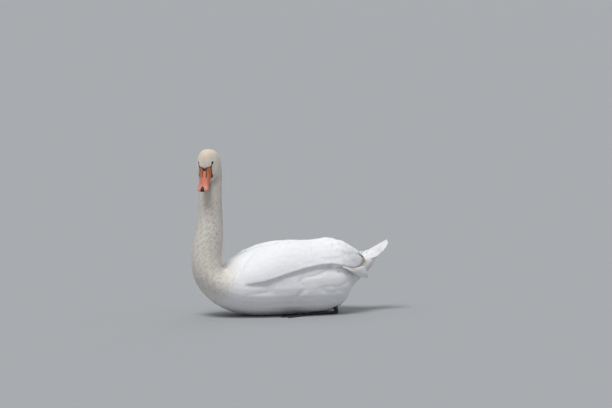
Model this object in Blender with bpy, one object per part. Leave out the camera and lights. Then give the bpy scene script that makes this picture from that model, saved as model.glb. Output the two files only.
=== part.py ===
"""A mute swan, life size, resting on its belly with its feet tucked under.

The neck stands straight up, and the head is turned 50 degrees to the bird's left with the bill lowered.
Metres, +Z up, floor at Z = 0. The bird faces -X and its left side is -Y.
The body is one loft, from the tail coverts to the face, parted by thin cuts. The wings, tail, bill,
eyes and feet are solids of their own.
"""

import math
from collections import namedtuple

import bmesh
import bpy
import numpy as np
from mathutils import Matrix, Vector

# Driving dimensions
GAP = 0.0004  # clearance between neighbouring solids
HEAD_TURN = 50.0  # degrees, to the bird's left
HEAD_PITCH = 52.0  # degrees that the bill points below level
NECK_TOP = (-0.3135, 0.0070)  # plan position of the neck's axis under the head
EYE_HEIGHT = 0.5647
EYE_REACH = 0.050  # from the neck's axis to the line between the eyes
EYE_RADIUS = 0.0062
EYE_SPREAD = 0.0224  # from the middle of the head to an eye's centre
TAIL_ROOT = (0.226, 0.1833)  # x and z
TAIL_SLOPE = 26.4  # degrees
TAIL_LENGTH = 0.1733
TAIL_FEATHERS = 11
TAIL_FAN = 2.9  # degrees between two quills
TAIL_STEP = 0.0025  # how much shorter each quill is than the middle one, by the square of its place
TAIL_ROOF = 10.0  # how fast the sides fall away, by the square of the width
RING_POINTS = 28
STEPS = 2  # rings for each pair of stations

# Finishes: colour, roughness
FINISHES = {
    "white_plumage": ((0.86, 0.86, 0.85), 0.85),
    "neck_plumage": ((0.74, 0.72, 0.68), 0.85),
    "bill_horn": ((0.80, 0.30, 0.16), 0.45),
    "black_skin": ((0.02, 0.02, 0.02), 0.50),
    "eye": ((0.02, 0.012, 0.008), 0.05),
    "webbed_skin": ((0.05, 0.05, 0.055), 0.60),
}

# A station is one cross-section of the body: its point on the back, its point on the belly, how far the
# bird is turned there, its half-width, the share of its height at which it is widest, how much wider it
# is below than above, and how square it is (2 is an ellipse).
Station = namedtuple("Station", "back belly turn width level pear square")


def heading(turn):
    """The level direction that the bird faces where it is turned by this many degrees."""
    angle = math.radians(turn)
    return Vector((-math.cos(angle), -math.sin(angle), 0.0))


def leftward(turn):
    """The bird's left where it is turned by this many degrees."""
    ahead = heading(turn)
    return Vector((-ahead.y, ahead.x, 0.0))


def body(x_back, z_back, x_belly, z_belly, width, level=0.46, pear=0.0, square=2.1):
    """A station in the plane of symmetry."""
    back, belly = Vector((x_back, 0, z_back)), Vector((x_belly, 0, z_belly))
    return Station(back, belly, 0.0, width, level, pear, square)


def neck(axis, turn, back, front, width, level=0.5, pear=0.0, square=2.0):
    """A station on the neck or head: back and front are the reach ahead of the axis, and the height."""
    foot = Vector((axis[0], axis[1], 0.0))
    ends = [foot + heading(turn) * reach + Vector((0, 0, z)) for reach, z in (back, front)]
    return Station(*ends, turn, width, level, pear, square)


def head(back, front, width, level=0.5, pear=0.0, square=2.0):
    """A station on the turned head."""
    return neck(NECK_TOP, HEAD_TURN, back, front, width, level, pear, square)


STATIONS = [
    body(0.350, 0.2420, 0.346, 0.226, 0.022, 0.5),  # end of the under-tail coverts
    body(0.330, 0.2340, 0.330, 0.192, 0.034, 0.5),
    body(0.300, 0.2210, 0.303, 0.152, 0.042, 0.5),
    body(0.262, 0.2045, 0.268, 0.120, 0.050, 0.5),  # vent
    body(0.230, 0.2080, 0.236, 0.094, 0.062, 0.48),
    body(0.206, 0.2180, 0.210, 0.066, 0.080, 0.46),  # end of the thighs
    body(0.193, 0.2250, 0.196, 0.046, 0.104, 0.44),
    body(0.174, 0.2330, 0.178, 0.026, 0.124, 0.43),  # thighs
    body(0.140, 0.2420, 0.144, 0.008, 0.140, 0.42),
    body(0.080, 0.2500, 0.080, -0.003, 0.151, 0.42),
    body(0.000, 0.2540, 0.000, -0.004, 0.156, 0.43),  # middle of the back
    body(-0.085, 0.2520, -0.085, -0.004, 0.153, 0.43),
    body(-0.150, 0.2380, -0.160, -0.001, 0.142, 0.45),  # shoulders
    body(-0.203, 0.2160, -0.225, 0.012, 0.127, 0.46),
    body(-0.240, 0.1960, -0.290, 0.042, 0.111, 0.46),  # crop
    body(-0.264, 0.1790, -0.341, 0.088, 0.093, 0.45),
    body(-0.276, 0.1800, -0.373, 0.142, 0.076, 0.45),  # breast
    body(-0.277, 0.2090, -0.384, 0.200, 0.0645, 0.47),
    body(-0.273, 0.2580, -0.383, 0.250, 0.0580, 0.5, 0, 2.0),  # foot of the neck
    body(-0.2705, 0.305, -0.3725, 0.302, 0.0530, 0.5, 0, 2.0),
    neck((-0.3185, 0.001), 5, (-0.0475, 0.354), (0.0440, 0.352), 0.0465),
    neck((-0.3170, 0.003), 18, (-0.0440, 0.407), (0.0415, 0.403), 0.0440),
    neck((-0.3155, 0.005), 36, (-0.0405, 0.460), (0.0385, 0.450), 0.0430),
    neck(NECK_TOP, 47, (-0.0385, 0.508), (0.0360, 0.482), 0.0428),
    head((-0.0360, 0.548), (0.0370, 0.493), 0.0428, 0.50, 0, 2.1),  # nape
    head((-0.0200, 0.587), (0.0400, 0.497), 0.0430, 0.50, 0, 2.3),
    head((0.0080, 0.608), (0.0430, 0.4995), 0.0415, 0.50, 0, 2.6),
    head((0.0340, 0.6095), (0.0465, 0.501), 0.0355, 0.50, 0, 2.7),  # crown
    head((0.0545, 0.5965), (0.0495, 0.502), 0.0262, 0.50, 0, 2.5),
    head((0.0640, 0.574), (0.0510, 0.503), 0.0215, 0.50, 0, 2.3),  # forehead
    head((0.0648, 0.550), (0.0515, 0.505), 0.0185, 0.50, 0, 2.1),
    head((0.0618, 0.536), (0.0515, 0.509), 0.0135, 0.50),  # foot of the bill
]
NECK_FOOT, NECK_MIDDLE, NECK_HEAD = 18, 21, 24  # stations where the body is parted


def material(name):
    """The Principled material of one finish."""
    made = bpy.data.materials.get(name)
    if made is None:
        colour, roughness = FINISHES[name]
        made = bpy.data.materials.new(name)
        made.use_nodes = True
        shader = made.node_tree.nodes["Principled BSDF"]
        shader.inputs["Base Color"].default_value = (*colour, 1.0)
        shader.inputs["Roughness"].default_value = roughness
    return made


def add_object(name, mesh, finish):
    """Links a mesh as a named, smooth object with one finish."""
    item = bpy.data.objects.new(name, mesh)
    bpy.context.scene.collection.objects.link(item)
    mesh.materials.append(material(finish))
    mesh.shade_smooth()
    mesh.set_sharp_from_angle(angle=math.radians(40))
    return item


def finish_shape(name, shape, finish):
    """Makes an object of a closed shape, its quads split the same way in a solid and in its cutter."""
    bmesh.ops.triangulate(shape, faces=shape.faces[:], quad_method="FIXED")
    bmesh.ops.recalc_face_normals(shape, faces=shape.faces)
    mesh = bpy.data.meshes.new(name)
    shape.to_mesh(mesh)
    shape.free()
    return add_object(name, mesh, finish)


def loft(name, rings, finish):
    """A closed solid through rings of equally many points, with flat ends."""
    shape = bmesh.new()
    rows = [[shape.verts.new(point) for point in ring] for ring in rings]
    count = len(rows[0])
    for row, following in zip(rows, rows[1:]):
        for k in range(count):
            near = (k + 1) % count
            shape.faces.new((row[k], row[near], following[near], following[k]))
    shape.faces.new(rows[0])
    shape.faces.new(rows[-1])
    return finish_shape(name, shape, finish)


def apply_boolean(target, other, operation):
    """Applies a Boolean with another object to a target, and removes the other object."""
    step = target.modifiers.new(operation.lower(), "BOOLEAN")
    step.operation = operation
    step.solver = "EXACT"
    step.object = other
    bpy.context.view_layer.update()
    evaluated = target.evaluated_get(bpy.context.evaluated_depsgraph_get())
    result = bpy.data.meshes.new_from_object(evaluated)
    target.modifiers.clear()
    target.data = result
    bpy.data.objects.remove(other)


def subtract(target, cutter):
    """Cuts one object out of another with a Boolean, and removes the cutter."""
    apply_boolean(target, cutter, "DIFFERENCE")


def smooth_through(values, place):
    """The Catmull-Rom curve through values, at a place counted in values."""
    k = min(int(place), len(values) - 2)
    t = place - k
    before, start, end, after = (
        values[min(max(j, 0), len(values) - 1)] for j in (k - 1, k, k + 1, k + 2)
    )
    if k == 0:
        before = start * 2 - end
    if k == len(values) - 2:
        after = end * 2 - start
    return 0.5 * (
        start * 2
        + (end - before) * t
        + (before * 2 - start * 5 + end * 4 - after) * t**2
        + (start * 3 - before - end * 3 + after) * t**3
    )


def station_at(place):
    """The body's cross-section at a place counted in stations."""
    return Station(*(smooth_through(column, place) for column in zip(*STATIONS)))


def superellipse(angle, square):
    """The sideways and upward share of a rounded section at an angle from its top."""
    side, up = math.sin(angle), math.cos(angle)
    power = 2.0 / square
    return (
        math.copysign(abs(side) ** power, side),
        math.copysign(abs(up) ** power, up),
    )


def body_ring(place, grow=0.0, shift=0.0):
    """The points of one cross-section, grown outwards, and shifted towards the head."""
    cut = station_at(place)
    height = cut.back - cut.belly
    up = height.normalized()
    left = leftward(cut.turn)
    ahead = up.cross(left) * -1
    centre = cut.belly + height * cut.level + ahead * shift
    rise, drop = height.length * (1 - cut.level) + grow, height.length * cut.level + grow
    points = []
    for k in range(RING_POINTS):
        side, lift = superellipse(2 * math.pi * k / RING_POINTS, cut.square)
        width = (cut.width + grow) * (1 - cut.pear * lift)
        point = centre + left * (side * width) + up * (lift * (rise if lift > 0 else drop))
        point.z = max(point.z, 0.0)  # the belly is flat where it lies on the floor
        points.append(point)
    return points


def body_length(name, first, last, finish):
    """The body between two stations, as a closed solid."""
    count = int((last - first) * STEPS)
    places = [first + k / STEPS for k in range(count + 1)]
    rings = [body_ring(place) for place in places]
    if first > 0:
        rings[0] = body_ring(first, shift=GAP / 2)
    if last < len(STATIONS) - 1:
        rings[-1] = body_ring(last, shift=-GAP / 2)
    return loft(name, rings, finish)


def build_body():
    """The trunk, two lengths of neck and the head."""
    end = len(STATIONS) - 1
    return {
        "trunk": body_length("trunk", 0, NECK_FOOT, "white_plumage"),
        "neck_lower": body_length("neck_lower", NECK_FOOT, NECK_MIDDLE, "neck_plumage"),
        "neck_upper": body_length("neck_upper", NECK_MIDDLE, NECK_HEAD, "neck_plumage"),
        "head": body_length("head", NECK_HEAD, end, "neck_plumage"),
    }


# A wing station: place along the body, height of the crest, half-width of the pair, height at which it
# is widest, the crest's distance from the middle, the angles from the crest at which the wing starts and
# ends, and its thickness.
WingStation = namedtuple("WingStation", "x top width waist crest start end thickness")
WING = [
    WingStation(-0.244, 0.184, 0.112, 0.118, 0.030, 46, 80, 0.003),
    WingStation(-0.215, 0.208, 0.130, 0.122, 0.035, 32, 88, 0.008),  # wrist
    WingStation(-0.165, 0.2355, 0.148, 0.126, 0.038, 6, 86, 0.015),
    WingStation(-0.110, 0.2540, 0.157, 0.130, 0.040, -18, 81, 0.018),
    WingStation(-0.050, 0.2650, 0.160, 0.130, 0.042, -36, 74, 0.020),
    WingStation(0.010, 0.2660, 0.160, 0.130, 0.043, -54, 68, 0.020),
    WingStation(0.060, 0.2630, 0.157, 0.130, 0.044, -70, 64, 0.020),
    WingStation(0.105, 0.2640, 0.151, 0.132, 0.045, -82, 64, 0.020),
    WingStation(0.150, 0.2705, 0.141, 0.135, 0.046, -86, 70, 0.018),  # top of the folded quills
    WingStation(0.180, 0.2665, 0.128, 0.138, 0.044, -86, 76, 0.015),
    WingStation(0.206, 0.2525, 0.110, 0.144, 0.042, -80, 77, 0.011),
    WingStation(0.236, 0.2335, 0.082, 0.152, 0.035, -50, 76, 0.007),
    WingStation(0.258, 0.2180, 0.058, 0.162, 0.030, -16, 72, 0.005),
    WingStation(0.272, 0.2070, 0.042, 0.172, 0.026, 6, 60, 0.003),
]
WING_ARC = 11  # points across a wing
CREST_DROP = 0.020  # how far the inner edge falls towards the middle of the back
# The long quills' tips: place in wing stations, and where their lower edge is (x, y and z)
PRIMARIES = [
    (7.6, 0.142, 0.138, 0.176),
    (8.6, 0.176, 0.124, 0.163),
    (9.6, 0.207, 0.106, 0.150),
    (10.5, 0.233, 0.086, 0.136),
    (11.2, 0.254, 0.070, 0.125),
    (11.7, 0.268, 0.061, 0.121),
    (12.0, 0.280, 0.055, 0.126),
    (12.2, 0.287, 0.051, 0.136),
]
QUILL_THICK = (0.010, 0.003)  # at the first and last station
QUILL_BULGE = 0.006
OUTWARD_CUT = 20  # a wing's cutter reaches this many times its growth outside it


def wing_surface(cut, angle, depth, side):
    """A point of the wing's section, at an angle from its crest and a depth under its surface."""
    turn = math.radians(angle)
    if angle < 0:
        across = cut.crest + (cut.crest - 0.001) * math.sin(turn)
        height = cut.top - depth - CREST_DROP * (1 - math.cos(turn))
    else:
        across = cut.crest + (cut.width - cut.crest - depth) * math.sin(turn)
        height = cut.waist + (cut.top - cut.waist - depth) * math.cos(turn)
    return Vector((cut.x, side * across, height))


def wing_ring(cut, side, start, end, grow):
    """One section of a wing: its outer arc, and its inner arc back again."""
    angles = [start + (end - start) * k / (WING_ARC - 1) for k in range(WING_ARC)]
    outer = [wing_surface(cut, angle, -OUTWARD_CUT * grow, side) for angle in angles]
    inner = [wing_surface(cut, angle, cut.thickness + grow, side) for angle in reversed(angles)]
    return outer + inner


def wing_at(place):
    """The wing's section at a place counted in wing stations."""
    return WingStation(*(smooth_through(column, place) for column in zip(*WING)))


def extend_ends(rings, grow):
    """Runs the first and last rings on along their sides, for a cutter."""
    for end, inner in ((rings[0], rings[1]), (rings[-1], rings[-2])):
        for point, near in zip(end, inner):
            step = point - near
            point += step * (2 * grow / max(step.length, 0.001))


def build_wing(name, side, grow=0.0):
    """One folded wing over the back, or with grow the space to cut for it."""
    margin = math.degrees(grow * 2 / WING[0].width)
    rings = [wing_ring(cut, side, cut.start - margin, cut.end + margin, grow) for cut in WING]
    extend_ends(rings, grow)
    return loft(name, rings, "white_plumage")


def build_primaries(name, side, grow=0.0):
    """The tips of the long quills, which show below the end of the folded wing."""
    rings = []
    for k, (place, x, across, bottom) in enumerate(PRIMARIES):
        share = k / (len(PRIMARIES) - 1)
        cut = wing_at(place)
        under = wing_surface(cut, cut.end + 2.0 + 3.0 * share, 0.0, side)
        low = Vector((x, side * across, bottom))
        thick = QUILL_THICK[0] + (QUILL_THICK[1] - QUILL_THICK[0]) * share
        outer, inner = [], []
        for j in range(6):
            down = j / 5
            bulge = QUILL_BULGE * math.sin(math.pi * down)
            point = under.lerp(low, down) + Vector((0, side * bulge, 0))
            slim = 0.25 + 0.75 * math.sin(math.pi * (0.12 + 0.76 * down))  # thin at both edges
            outer.append(point + Vector((0, side * grow, grow * (1 - 2 * down))))
            inner.append(point - Vector((0, side * (thick * slim + grow), grow * (2 * down - 1))))
        rings.append(outer + inner[::-1])
    extend_ends(rings, grow)
    return loft(name, rings, "white_plumage")


def plate(name, top, bottom, finish):
    """A closed sheet between two grids of points, with walls all round."""
    shape = bmesh.new()
    upper = [[shape.verts.new(point) for point in row] for row in top]
    lower = [[shape.verts.new(point) for point in row] for row in bottom]
    rows, columns = len(upper), len(upper[0])
    for grid in (upper, lower):
        for i in range(rows - 1):
            for j in range(columns - 1):
                shape.faces.new((grid[i][j], grid[i][j + 1], grid[i + 1][j + 1], grid[i + 1][j]))
    rim = [(0, j) for j in range(columns)] + [(i, columns - 1) for i in range(1, rows)]
    rim += [(rows - 1, j) for j in range(columns - 2, -1, -1)] + [(i, 0) for i in range(rows - 2, 0, -1)]
    for (i, j), (m, n) in zip(rim, rim[1:] + rim[:1]):
        shape.faces.new((upper[i][j], upper[m][n], lower[m][n], lower[i][j]))
    return finish_shape(name, shape, finish)


def build_tail(name, grow=0.0):
    """A fan of quills, a little roofed, the middle ones longest, or the space to cut for it."""
    slope = math.radians(TAIL_SLOPE)
    along = Vector((math.cos(slope), 0, math.sin(slope)))
    above = Vector((-math.sin(slope), 0, math.cos(slope)))
    root = Vector((TAIL_ROOT[0], 0, TAIL_ROOT[1]))
    per_feather, rows = 3, 4
    columns = TAIL_FEATHERS * per_feather
    half = TAIL_FEATHERS / 2
    top, bottom = [], []
    for row in range(rows + 1):
        share = row / rows
        upper, lower = [], []
        for column in range(columns + 1):
            place = column / per_feather - half  # in feathers from the middle
            fan = math.radians(TAIL_FAN * place)
            tip = abs((column % per_feather) / per_feather - 0.5) * 2
            length = (TAIL_LENGTH - TAIL_STEP * place**2) * (1 - 0.04 * tip**2) + grow * 2
            reach = length * share - grow * 2 * (row == 0)
            side = reach * math.sin(fan) + (0.014 + grow * 2) * place / half
            droop = TAIL_ROOF * side**2 + 0.0006 * abs(place)  # each quill under the one inside it
            half_thick = 0.0030 - 0.0014 * share + grow
            middle = root + along * reach * math.cos(fan) - above * droop
            middle.y = side
            upper.append(middle + above * half_thick)
            lower.append(middle - above * half_thick)
        top.append(upper)
        bottom.append(lower)
    return plate(name, top, bottom, "white_plumage")


def head_axes():
    """The head's own frame: ahead along the bill, left, and up, from the middle between the eyes."""
    ahead, left = heading(HEAD_TURN), leftward(HEAD_TURN)
    pitch = math.radians(HEAD_PITCH)
    forward = ahead * math.cos(pitch) - Vector((0, 0, math.sin(pitch)))
    up = ahead * math.sin(pitch) + Vector((0, 0, math.cos(pitch)))
    origin = Vector((*NECK_TOP, EYE_HEIGHT)) + ahead * EYE_REACH
    return origin, forward, left, up


def head_point(x, y, z):
    """A point in the head's own frame, as the world sees it."""
    origin, forward, left, up = head_axes()
    return origin + forward * x + left * y + up * z


# A bill station: reach from the eyes, half-width, height of the ridge and of the cutting edge
BILL = [
    (0.008, 0.0195, -0.0060, -0.0300),
    (0.028, 0.0198, -0.0065, -0.0322),
    (0.045, 0.0186, -0.0132, -0.0332),
    (0.062, 0.0178, -0.0195, -0.0335),
    (0.078, 0.0190, -0.0238, -0.0332),
    (0.090, 0.0201, -0.0264, -0.0330),
    (0.098, 0.0187, -0.0284, -0.0335),
    (0.1025, 0.0145, -0.0302, -0.0345),
    (0.1045, 0.0080, -0.0318, -0.0350),
]
BILL_POINTS = 16
BILL_FLOOR = 0.0012  # how far the upper bill reaches below its cutting edge
LOWER_BILL = (0.012, 0.097)  # from and to, along the bill
LOWER_RINGS = 8
LOWER_TOP = -0.0356
KNOB_PLACE = (0.0290, 0.0, -0.0085)
KNOB_SIZE = (0.0085, 0.0062, 0.0056)


def bill_ring(reach, width, ridge, edge, grow):
    """One section of the upper bill: an arch over a flat underside."""
    points = []
    for k in range(BILL_POINTS):
        side, lift = superellipse(2 * math.pi * k / BILL_POINTS, 2.3)
        drop = (BILL_FLOOR if lift < 0 else ridge - edge) + grow
        points.append(head_point(reach, side * (width + grow), edge + lift * drop))
    return points


def build_bill(name, grow=0.0):
    """The upper bill, or with grow the space to cut for it."""
    first, last = BILL[0][0], BILL[-1][0]
    rings = []
    for reach, width, ridge, edge in BILL:
        reach += grow * ((reach == last) - (reach == first))
        rings.append(bill_ring(reach, width, ridge, edge, grow))
    return loft(name, rings, "bill_horn")


def build_lower_bill(name, grow=0.0):
    """The lower bill, a shallow trough that closes against the upper one."""
    first, last = LOWER_BILL[0] - grow, LOWER_BILL[1] + grow
    rings = []
    for k in range(LOWER_RINGS + 1):
        share = k / LOWER_RINGS
        reach = first + (last - first) * share
        width = 0.0135 + 0.0010 * math.sin(math.pi * share) - 0.006 * share**6
        depth = 0.0036 + 0.0095 * (1 - share) ** 0.6
        ring = []
        for j in range(BILL_POINTS):
            side, lift = superellipse(2 * math.pi * j / BILL_POINTS, 2.2)
            drop = (0.0 if lift > 0 else depth) + grow
            ring.append(head_point(reach, side * (width + grow), LOWER_TOP + lift * drop))
        rings.append(ring)
    return loft(name, rings, "bill_horn")


def ball(name, centre, radii, finish):
    """An ellipsoid in the head's own frame."""
    shape = bmesh.new()
    bmesh.ops.create_uvsphere(shape, u_segments=14, v_segments=10, radius=1.0)
    for vert in shape.verts:
        local = [middle + value * radius for middle, value, radius in zip(centre, vert.co, radii)]
        vert.co = head_point(*local)
    return finish_shape(name, shape, finish)


def build_face(head_solid):
    """The bill, its knob, and the eyes, each let into what carries it."""
    bill = build_bill("bill_upper")
    build_lower_bill("bill_lower")
    subtract(head_solid, build_bill("cut_bill", GAP))
    subtract(head_solid, build_lower_bill("cut_lower", GAP))
    ball("bill_knob", KNOB_PLACE, KNOB_SIZE, "black_skin")
    grown_knob = [size + GAP for size in KNOB_SIZE]
    for carrier in (head_solid, bill):
        subtract(carrier, ball("cut_knob", KNOB_PLACE, grown_knob, "black_skin"))
    for name, side in (("eye_left", 1), ("eye_right", -1)):
        centre = (0.0, side * EYE_SPREAD, 0.0)
        ball(name, centre, [EYE_RADIUS] * 3, "eye")
        subtract(head_solid, ball("cut_eye", centre, [EYE_RADIUS + GAP] * 3, "eye"))


# The right foot; the left one is its mirror image
TOE_ROOT = (0.038, 0.086)
FOOT_TURN = 4.0  # degrees that the inner edge of the foot turns outwards
TOES = ((2.0, 0.118), (15.0, 0.142), (28.0, 0.134))  # each toe's further turn, and its length
HEEL = (0.150, 0.082)
TOE_RADIUS = 0.0042
SHANK_RADIUS = 0.0062
SUNK = 0.0005  # how much of the underside the floor cuts off
WEB = (0.0006, 0.0032)  # the heights of the web's two sides
# The thigh's stub: share of the way up, and radius
THIGH = ((0.0, 0.0060), (0.12, 0.0085), (0.5, 0.0110), (1.0, 0.0135))
THIGH_FOOT = (0.146, 0.082, 0.0075)
THIGH_TOP = (0.120, 0.076, 0.075)


def tube(name, ends, radii, sides=8):
    """A tapering limb along a line, a little broader than high, with rounded ends."""
    start, end = ends
    ahead = (end - start).normalized()
    across = Vector((-ahead.y, ahead.x, 0))
    rings = []
    for share, swell in ((0, 0.45), (0.04, 0.9), (0.3, 1), (0.6, 1), (0.93, 0.9), (1, 0.4)):
        centre = start.lerp(end, share)
        radius = (radii[0] + (radii[1] - radii[0]) * share) * swell
        ring = []
        for k in range(sides):
            angle = 2 * math.pi * (k + 0.5) / sides
            rise = Vector((0, 0, math.sin(angle) * radius))
            ring.append(centre + across * math.cos(angle) * radius * 1.15 + rise)
        rings.append(ring)
    return loft(name, rings, "webbed_skin")


def unite(target, other):
    """Joins one object into another with a Boolean, and removes it."""
    apply_boolean(target, other, "UNION")


def toe_tip(turn, length):
    """Where a toe ends on the floor."""
    angle = math.radians(FOOT_TURN + turn)
    x, y = TOE_ROOT[0] - length * math.cos(angle), TOE_ROOT[1] + length * math.sin(angle)
    return Vector((x, y, TOE_RADIUS * 0.6 - SUNK))


def build_web():
    """The skin between the toes: a thin plate with two hollow front edges."""
    root = Vector((TOE_ROOT[0] + 0.006, TOE_ROOT[1], 0))
    tips = [toe_tip(turn, length * 0.93) for turn, length in TOES]
    edge = [root, tips[0]]
    for near, far in zip(tips, tips[1:]):
        for k in range(1, 6):
            share = k / 5
            hollow = 0.42 * share * (1 - share)
            edge.append(near.lerp(far, share).lerp(root, hollow))
    return loft("web", [[Vector((p.x, p.y, z)) for p in edge] for z in WEB], "webbed_skin")


def build_thigh(name, grow=0.0):
    """The stub of the leg that runs from the heel up into the body, or the space to cut for it."""
    low, high = Vector(THIGH_FOOT), Vector(THIGH_TOP)
    rings = []
    for share, radius in THIGH:
        centre = low.lerp(high, share)
        turns = [2 * math.pi * (k + 0.5) / 10 for k in range(10)]
        reach = radius + grow
        rings.append([centre + Vector((reach * math.cos(t), reach * math.sin(t), 0)) for t in turns])
    extend_ends(rings, grow)
    return loft(name, rings, "webbed_skin")


def mirror(item):
    """Turns a right-hand piece into a left-hand one."""
    item.data.transform(Matrix.Scale(-1, 4, (0, 1, 0)))
    item.data.flip_normals()


def build_foot(name):
    """A folded leg on the floor: the thigh's stub, the shank, three toes and the web between them."""
    root = Vector((*TOE_ROOT, SHANK_RADIUS * 0.8 - SUNK))
    heel = Vector((*HEEL, SHANK_RADIUS - SUNK))
    foot = tube(name, (heel, root), (SHANK_RADIUS, SHANK_RADIUS))
    unite(foot, build_thigh("thigh"))
    for turn, length in TOES:
        spread = Vector((0.004, 0.0001 * turn, 0))  # keeps the toes' roots apart
        start = Vector((*TOE_ROOT, TOE_RADIUS * (0.84 + 0.003 * turn))) + spread
        unite(foot, tube("toe", (start, toe_tip(turn, length)), (TOE_RADIUS, TOE_RADIUS * 0.6)))
    unite(foot, build_web())
    square = ((-0.3, -0.3), (0.3, -0.3), (0.3, 0.3), (-0.3, 0.3))
    slab = [[Vector((x, y, z)) for x, y in square] for z in (-0.05, 0.0)]
    subtract(foot, loft("cut_floor", slab, "webbed_skin"))
    return foot


def centre_all():
    """Moves everything so that the middle of the bounding box is over the origin."""
    corners = np.array([vert.co for item in bpy.data.objects for vert in item.data.vertices])
    middle = (corners.min(axis=0) + corners.max(axis=0)) / 2
    for item in bpy.data.objects:
        item.data.transform(Matrix.Translation((-middle[0], -middle[1], 0)))


def main():
    for item in list(bpy.data.objects):
        bpy.data.objects.remove(item)
    solids = build_body()
    trunk = solids["trunk"]
    build_face(solids["head"])
    for name, side in (("left", -1), ("right", 1)):
        build_wing(f"wing_{name}", side)
        subtract(trunk, build_wing("cut_wing", side, GAP))
        build_primaries(f"primaries_{name}", side)
        subtract(trunk, build_primaries("cut_primaries", side, GAP))
        foot = build_foot(f"foot_{name}")
        cutter = build_thigh("cut_thigh", GAP)
        if side < 0:
            mirror(foot)
            mirror(cutter)
        subtract(trunk, cutter)
    build_tail("tail")
    subtract(trunk, build_tail("cut_tail", GAP))
    centre_all()


main()
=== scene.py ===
"""A mute swan, life size, resting on its belly: the skin, the feather coat, the bill, eyes and feet.

Everything is in metres in the frame of the solids: +Z up, the bird faces -X, its left side is -Y.
"""

import math

import bpy
import numpy as np
from bpy.props import FloatProperty, FloatVectorProperty, IntProperty, PointerProperty
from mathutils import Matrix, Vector
from mathutils.bvhtree import BVHTree
from mathutils.kdtree import KDTree


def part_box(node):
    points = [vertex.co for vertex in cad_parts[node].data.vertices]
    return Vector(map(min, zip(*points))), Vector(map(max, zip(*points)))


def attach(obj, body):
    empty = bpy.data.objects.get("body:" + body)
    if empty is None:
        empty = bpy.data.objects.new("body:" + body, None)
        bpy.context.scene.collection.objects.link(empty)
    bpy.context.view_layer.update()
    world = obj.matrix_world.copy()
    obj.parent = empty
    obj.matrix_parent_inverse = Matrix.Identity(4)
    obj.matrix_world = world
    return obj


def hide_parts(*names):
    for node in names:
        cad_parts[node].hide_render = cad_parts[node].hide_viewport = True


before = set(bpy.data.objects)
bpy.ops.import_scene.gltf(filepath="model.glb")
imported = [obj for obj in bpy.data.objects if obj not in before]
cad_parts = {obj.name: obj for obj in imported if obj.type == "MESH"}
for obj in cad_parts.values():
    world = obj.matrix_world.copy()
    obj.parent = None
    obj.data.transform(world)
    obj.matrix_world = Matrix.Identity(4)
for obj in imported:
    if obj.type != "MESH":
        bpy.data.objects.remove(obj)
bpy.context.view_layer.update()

bl_info = {
    "name": "Mute swan",
    "version": (1, 0, 0),
    "blender": (4, 5, 0),
    "location": "3D View > Sidebar > Swan",
    "description": "Dresses the solids of a resting mute swan in skin, feathers and horn",
    "category": "Object",
}

MM = 0.001
SEED = 20
UPWARDS = np.array((0.0, 0.0, 1.0))
FLESH = ("trunk", "neck_lower", "neck_upper", "head", "wing_left", "wing_right")
SIDES = (("left", -1), ("right", 1))  # a side's name, and the sign of its y
# Groups of solids that places on the form are measured from
HEAD_SOLIDS = ("head", "neck_upper")
BILL_SOLIDS = ("bill_upper", "bill_lower")
WING_SOLIDS = ("wing_left", "wing_right")
WING_REACH = 0.0032  # a place on the form this near a wing's solid lies on the wing
NECK_BACK = -0.255  # x that parts the neck from the back
# Heights where the neck's lower and upper feathers begin, and the head's
NECK_FOOT, NECK_HALFWAY, HEAD_FOOT = 0.245, 0.36, 0.497
SKIN_TRIANGLES = 180000
TUFT_PATCH = 0.0015  # half the side of a feather's patch on the coat's unwrap

# The head's own frame, from the middle between the eyes: ahead along the bill, left, and up
BILL_PITCH = 52.0  # degrees that the bill points below level
EYE_REACH = 0.050  # from the neck's axis to the line between the eyes


def middle_of(node):
    """The middle of a solid's box."""
    low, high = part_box(node)
    return np.array((low + high) / 2)


def unit(vectors):
    """Vectors scaled to length one."""
    return vectors / np.maximum(np.linalg.norm(vectors, axis=-1, keepdims=True), 1e-12)


EYES = {"left": middle_of("eye_left"), "right": middle_of("eye_right")}
EYE_MIDDLE = (EYES["left"] + EYES["right"]) / 2
LEFTWARD = unit(EYES["left"] - EYES["right"])
AHEAD = np.cross(LEFTWARD, UPWARDS)
PITCH = math.radians(BILL_PITCH)
ALONG_BILL = AHEAD * math.cos(PITCH) - UPWARDS * math.sin(PITCH)
HEAD_AXES = np.array((ALONG_BILL, LEFTWARD, AHEAD * math.sin(PITCH) + UPWARDS * math.cos(PITCH)))
NECK_AXIS = EYE_MIDDLE - AHEAD * EYE_REACH  # the top of the neck's axis, in plan


def to_head(points):
    """Points in the head's own frame, in millimetres."""
    return (points - EYE_MIDDLE) @ HEAD_AXES.T / MM


def from_head(points):
    """Points of the head's own frame, in millimetres, as the world sees them."""
    return EYE_MIDDLE + np.asarray(points) * MM @ HEAD_AXES


def smooth_step(value, start, end):
    """0 before start, 1 after end, and a smooth rise between."""
    share = np.clip((value - start) / (end - start), 0.0, 1.0)
    return share * share * (3.0 - 2.0 * share)


def smooth_curve(value, places, heights):
    """A smooth curve through (place, height) pairs."""
    places, heights = np.asarray(places, float), np.asarray(heights, float)
    slopes = np.gradient(heights, places)
    k = np.clip(np.searchsorted(places, value) - 1, 0, len(places) - 2)
    step = places[k + 1] - places[k]
    t = np.clip((value - places[k]) / step, 0.0, 1.0)
    return (
        heights[k] * (1 + 2 * t) * (1 - t) ** 2
        + slopes[k] * step * t * (1 - t) ** 2
        + heights[k + 1] * t * t * (3 - 2 * t)
        + slopes[k + 1] * step * t * t * (t - 1)
    )


# ---------------------------------------------------------------- sizes and colours


def linear(code):
    """An sRGB hex colour as linear red, green and blue."""
    values = [int(code[k : k + 2], 16) / 255 for k in (1, 3, 5)]
    return tuple(v / 12.92 if v <= 0.04045 else ((v + 0.055) / 1.055) ** 2.4 for v in values)


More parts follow.
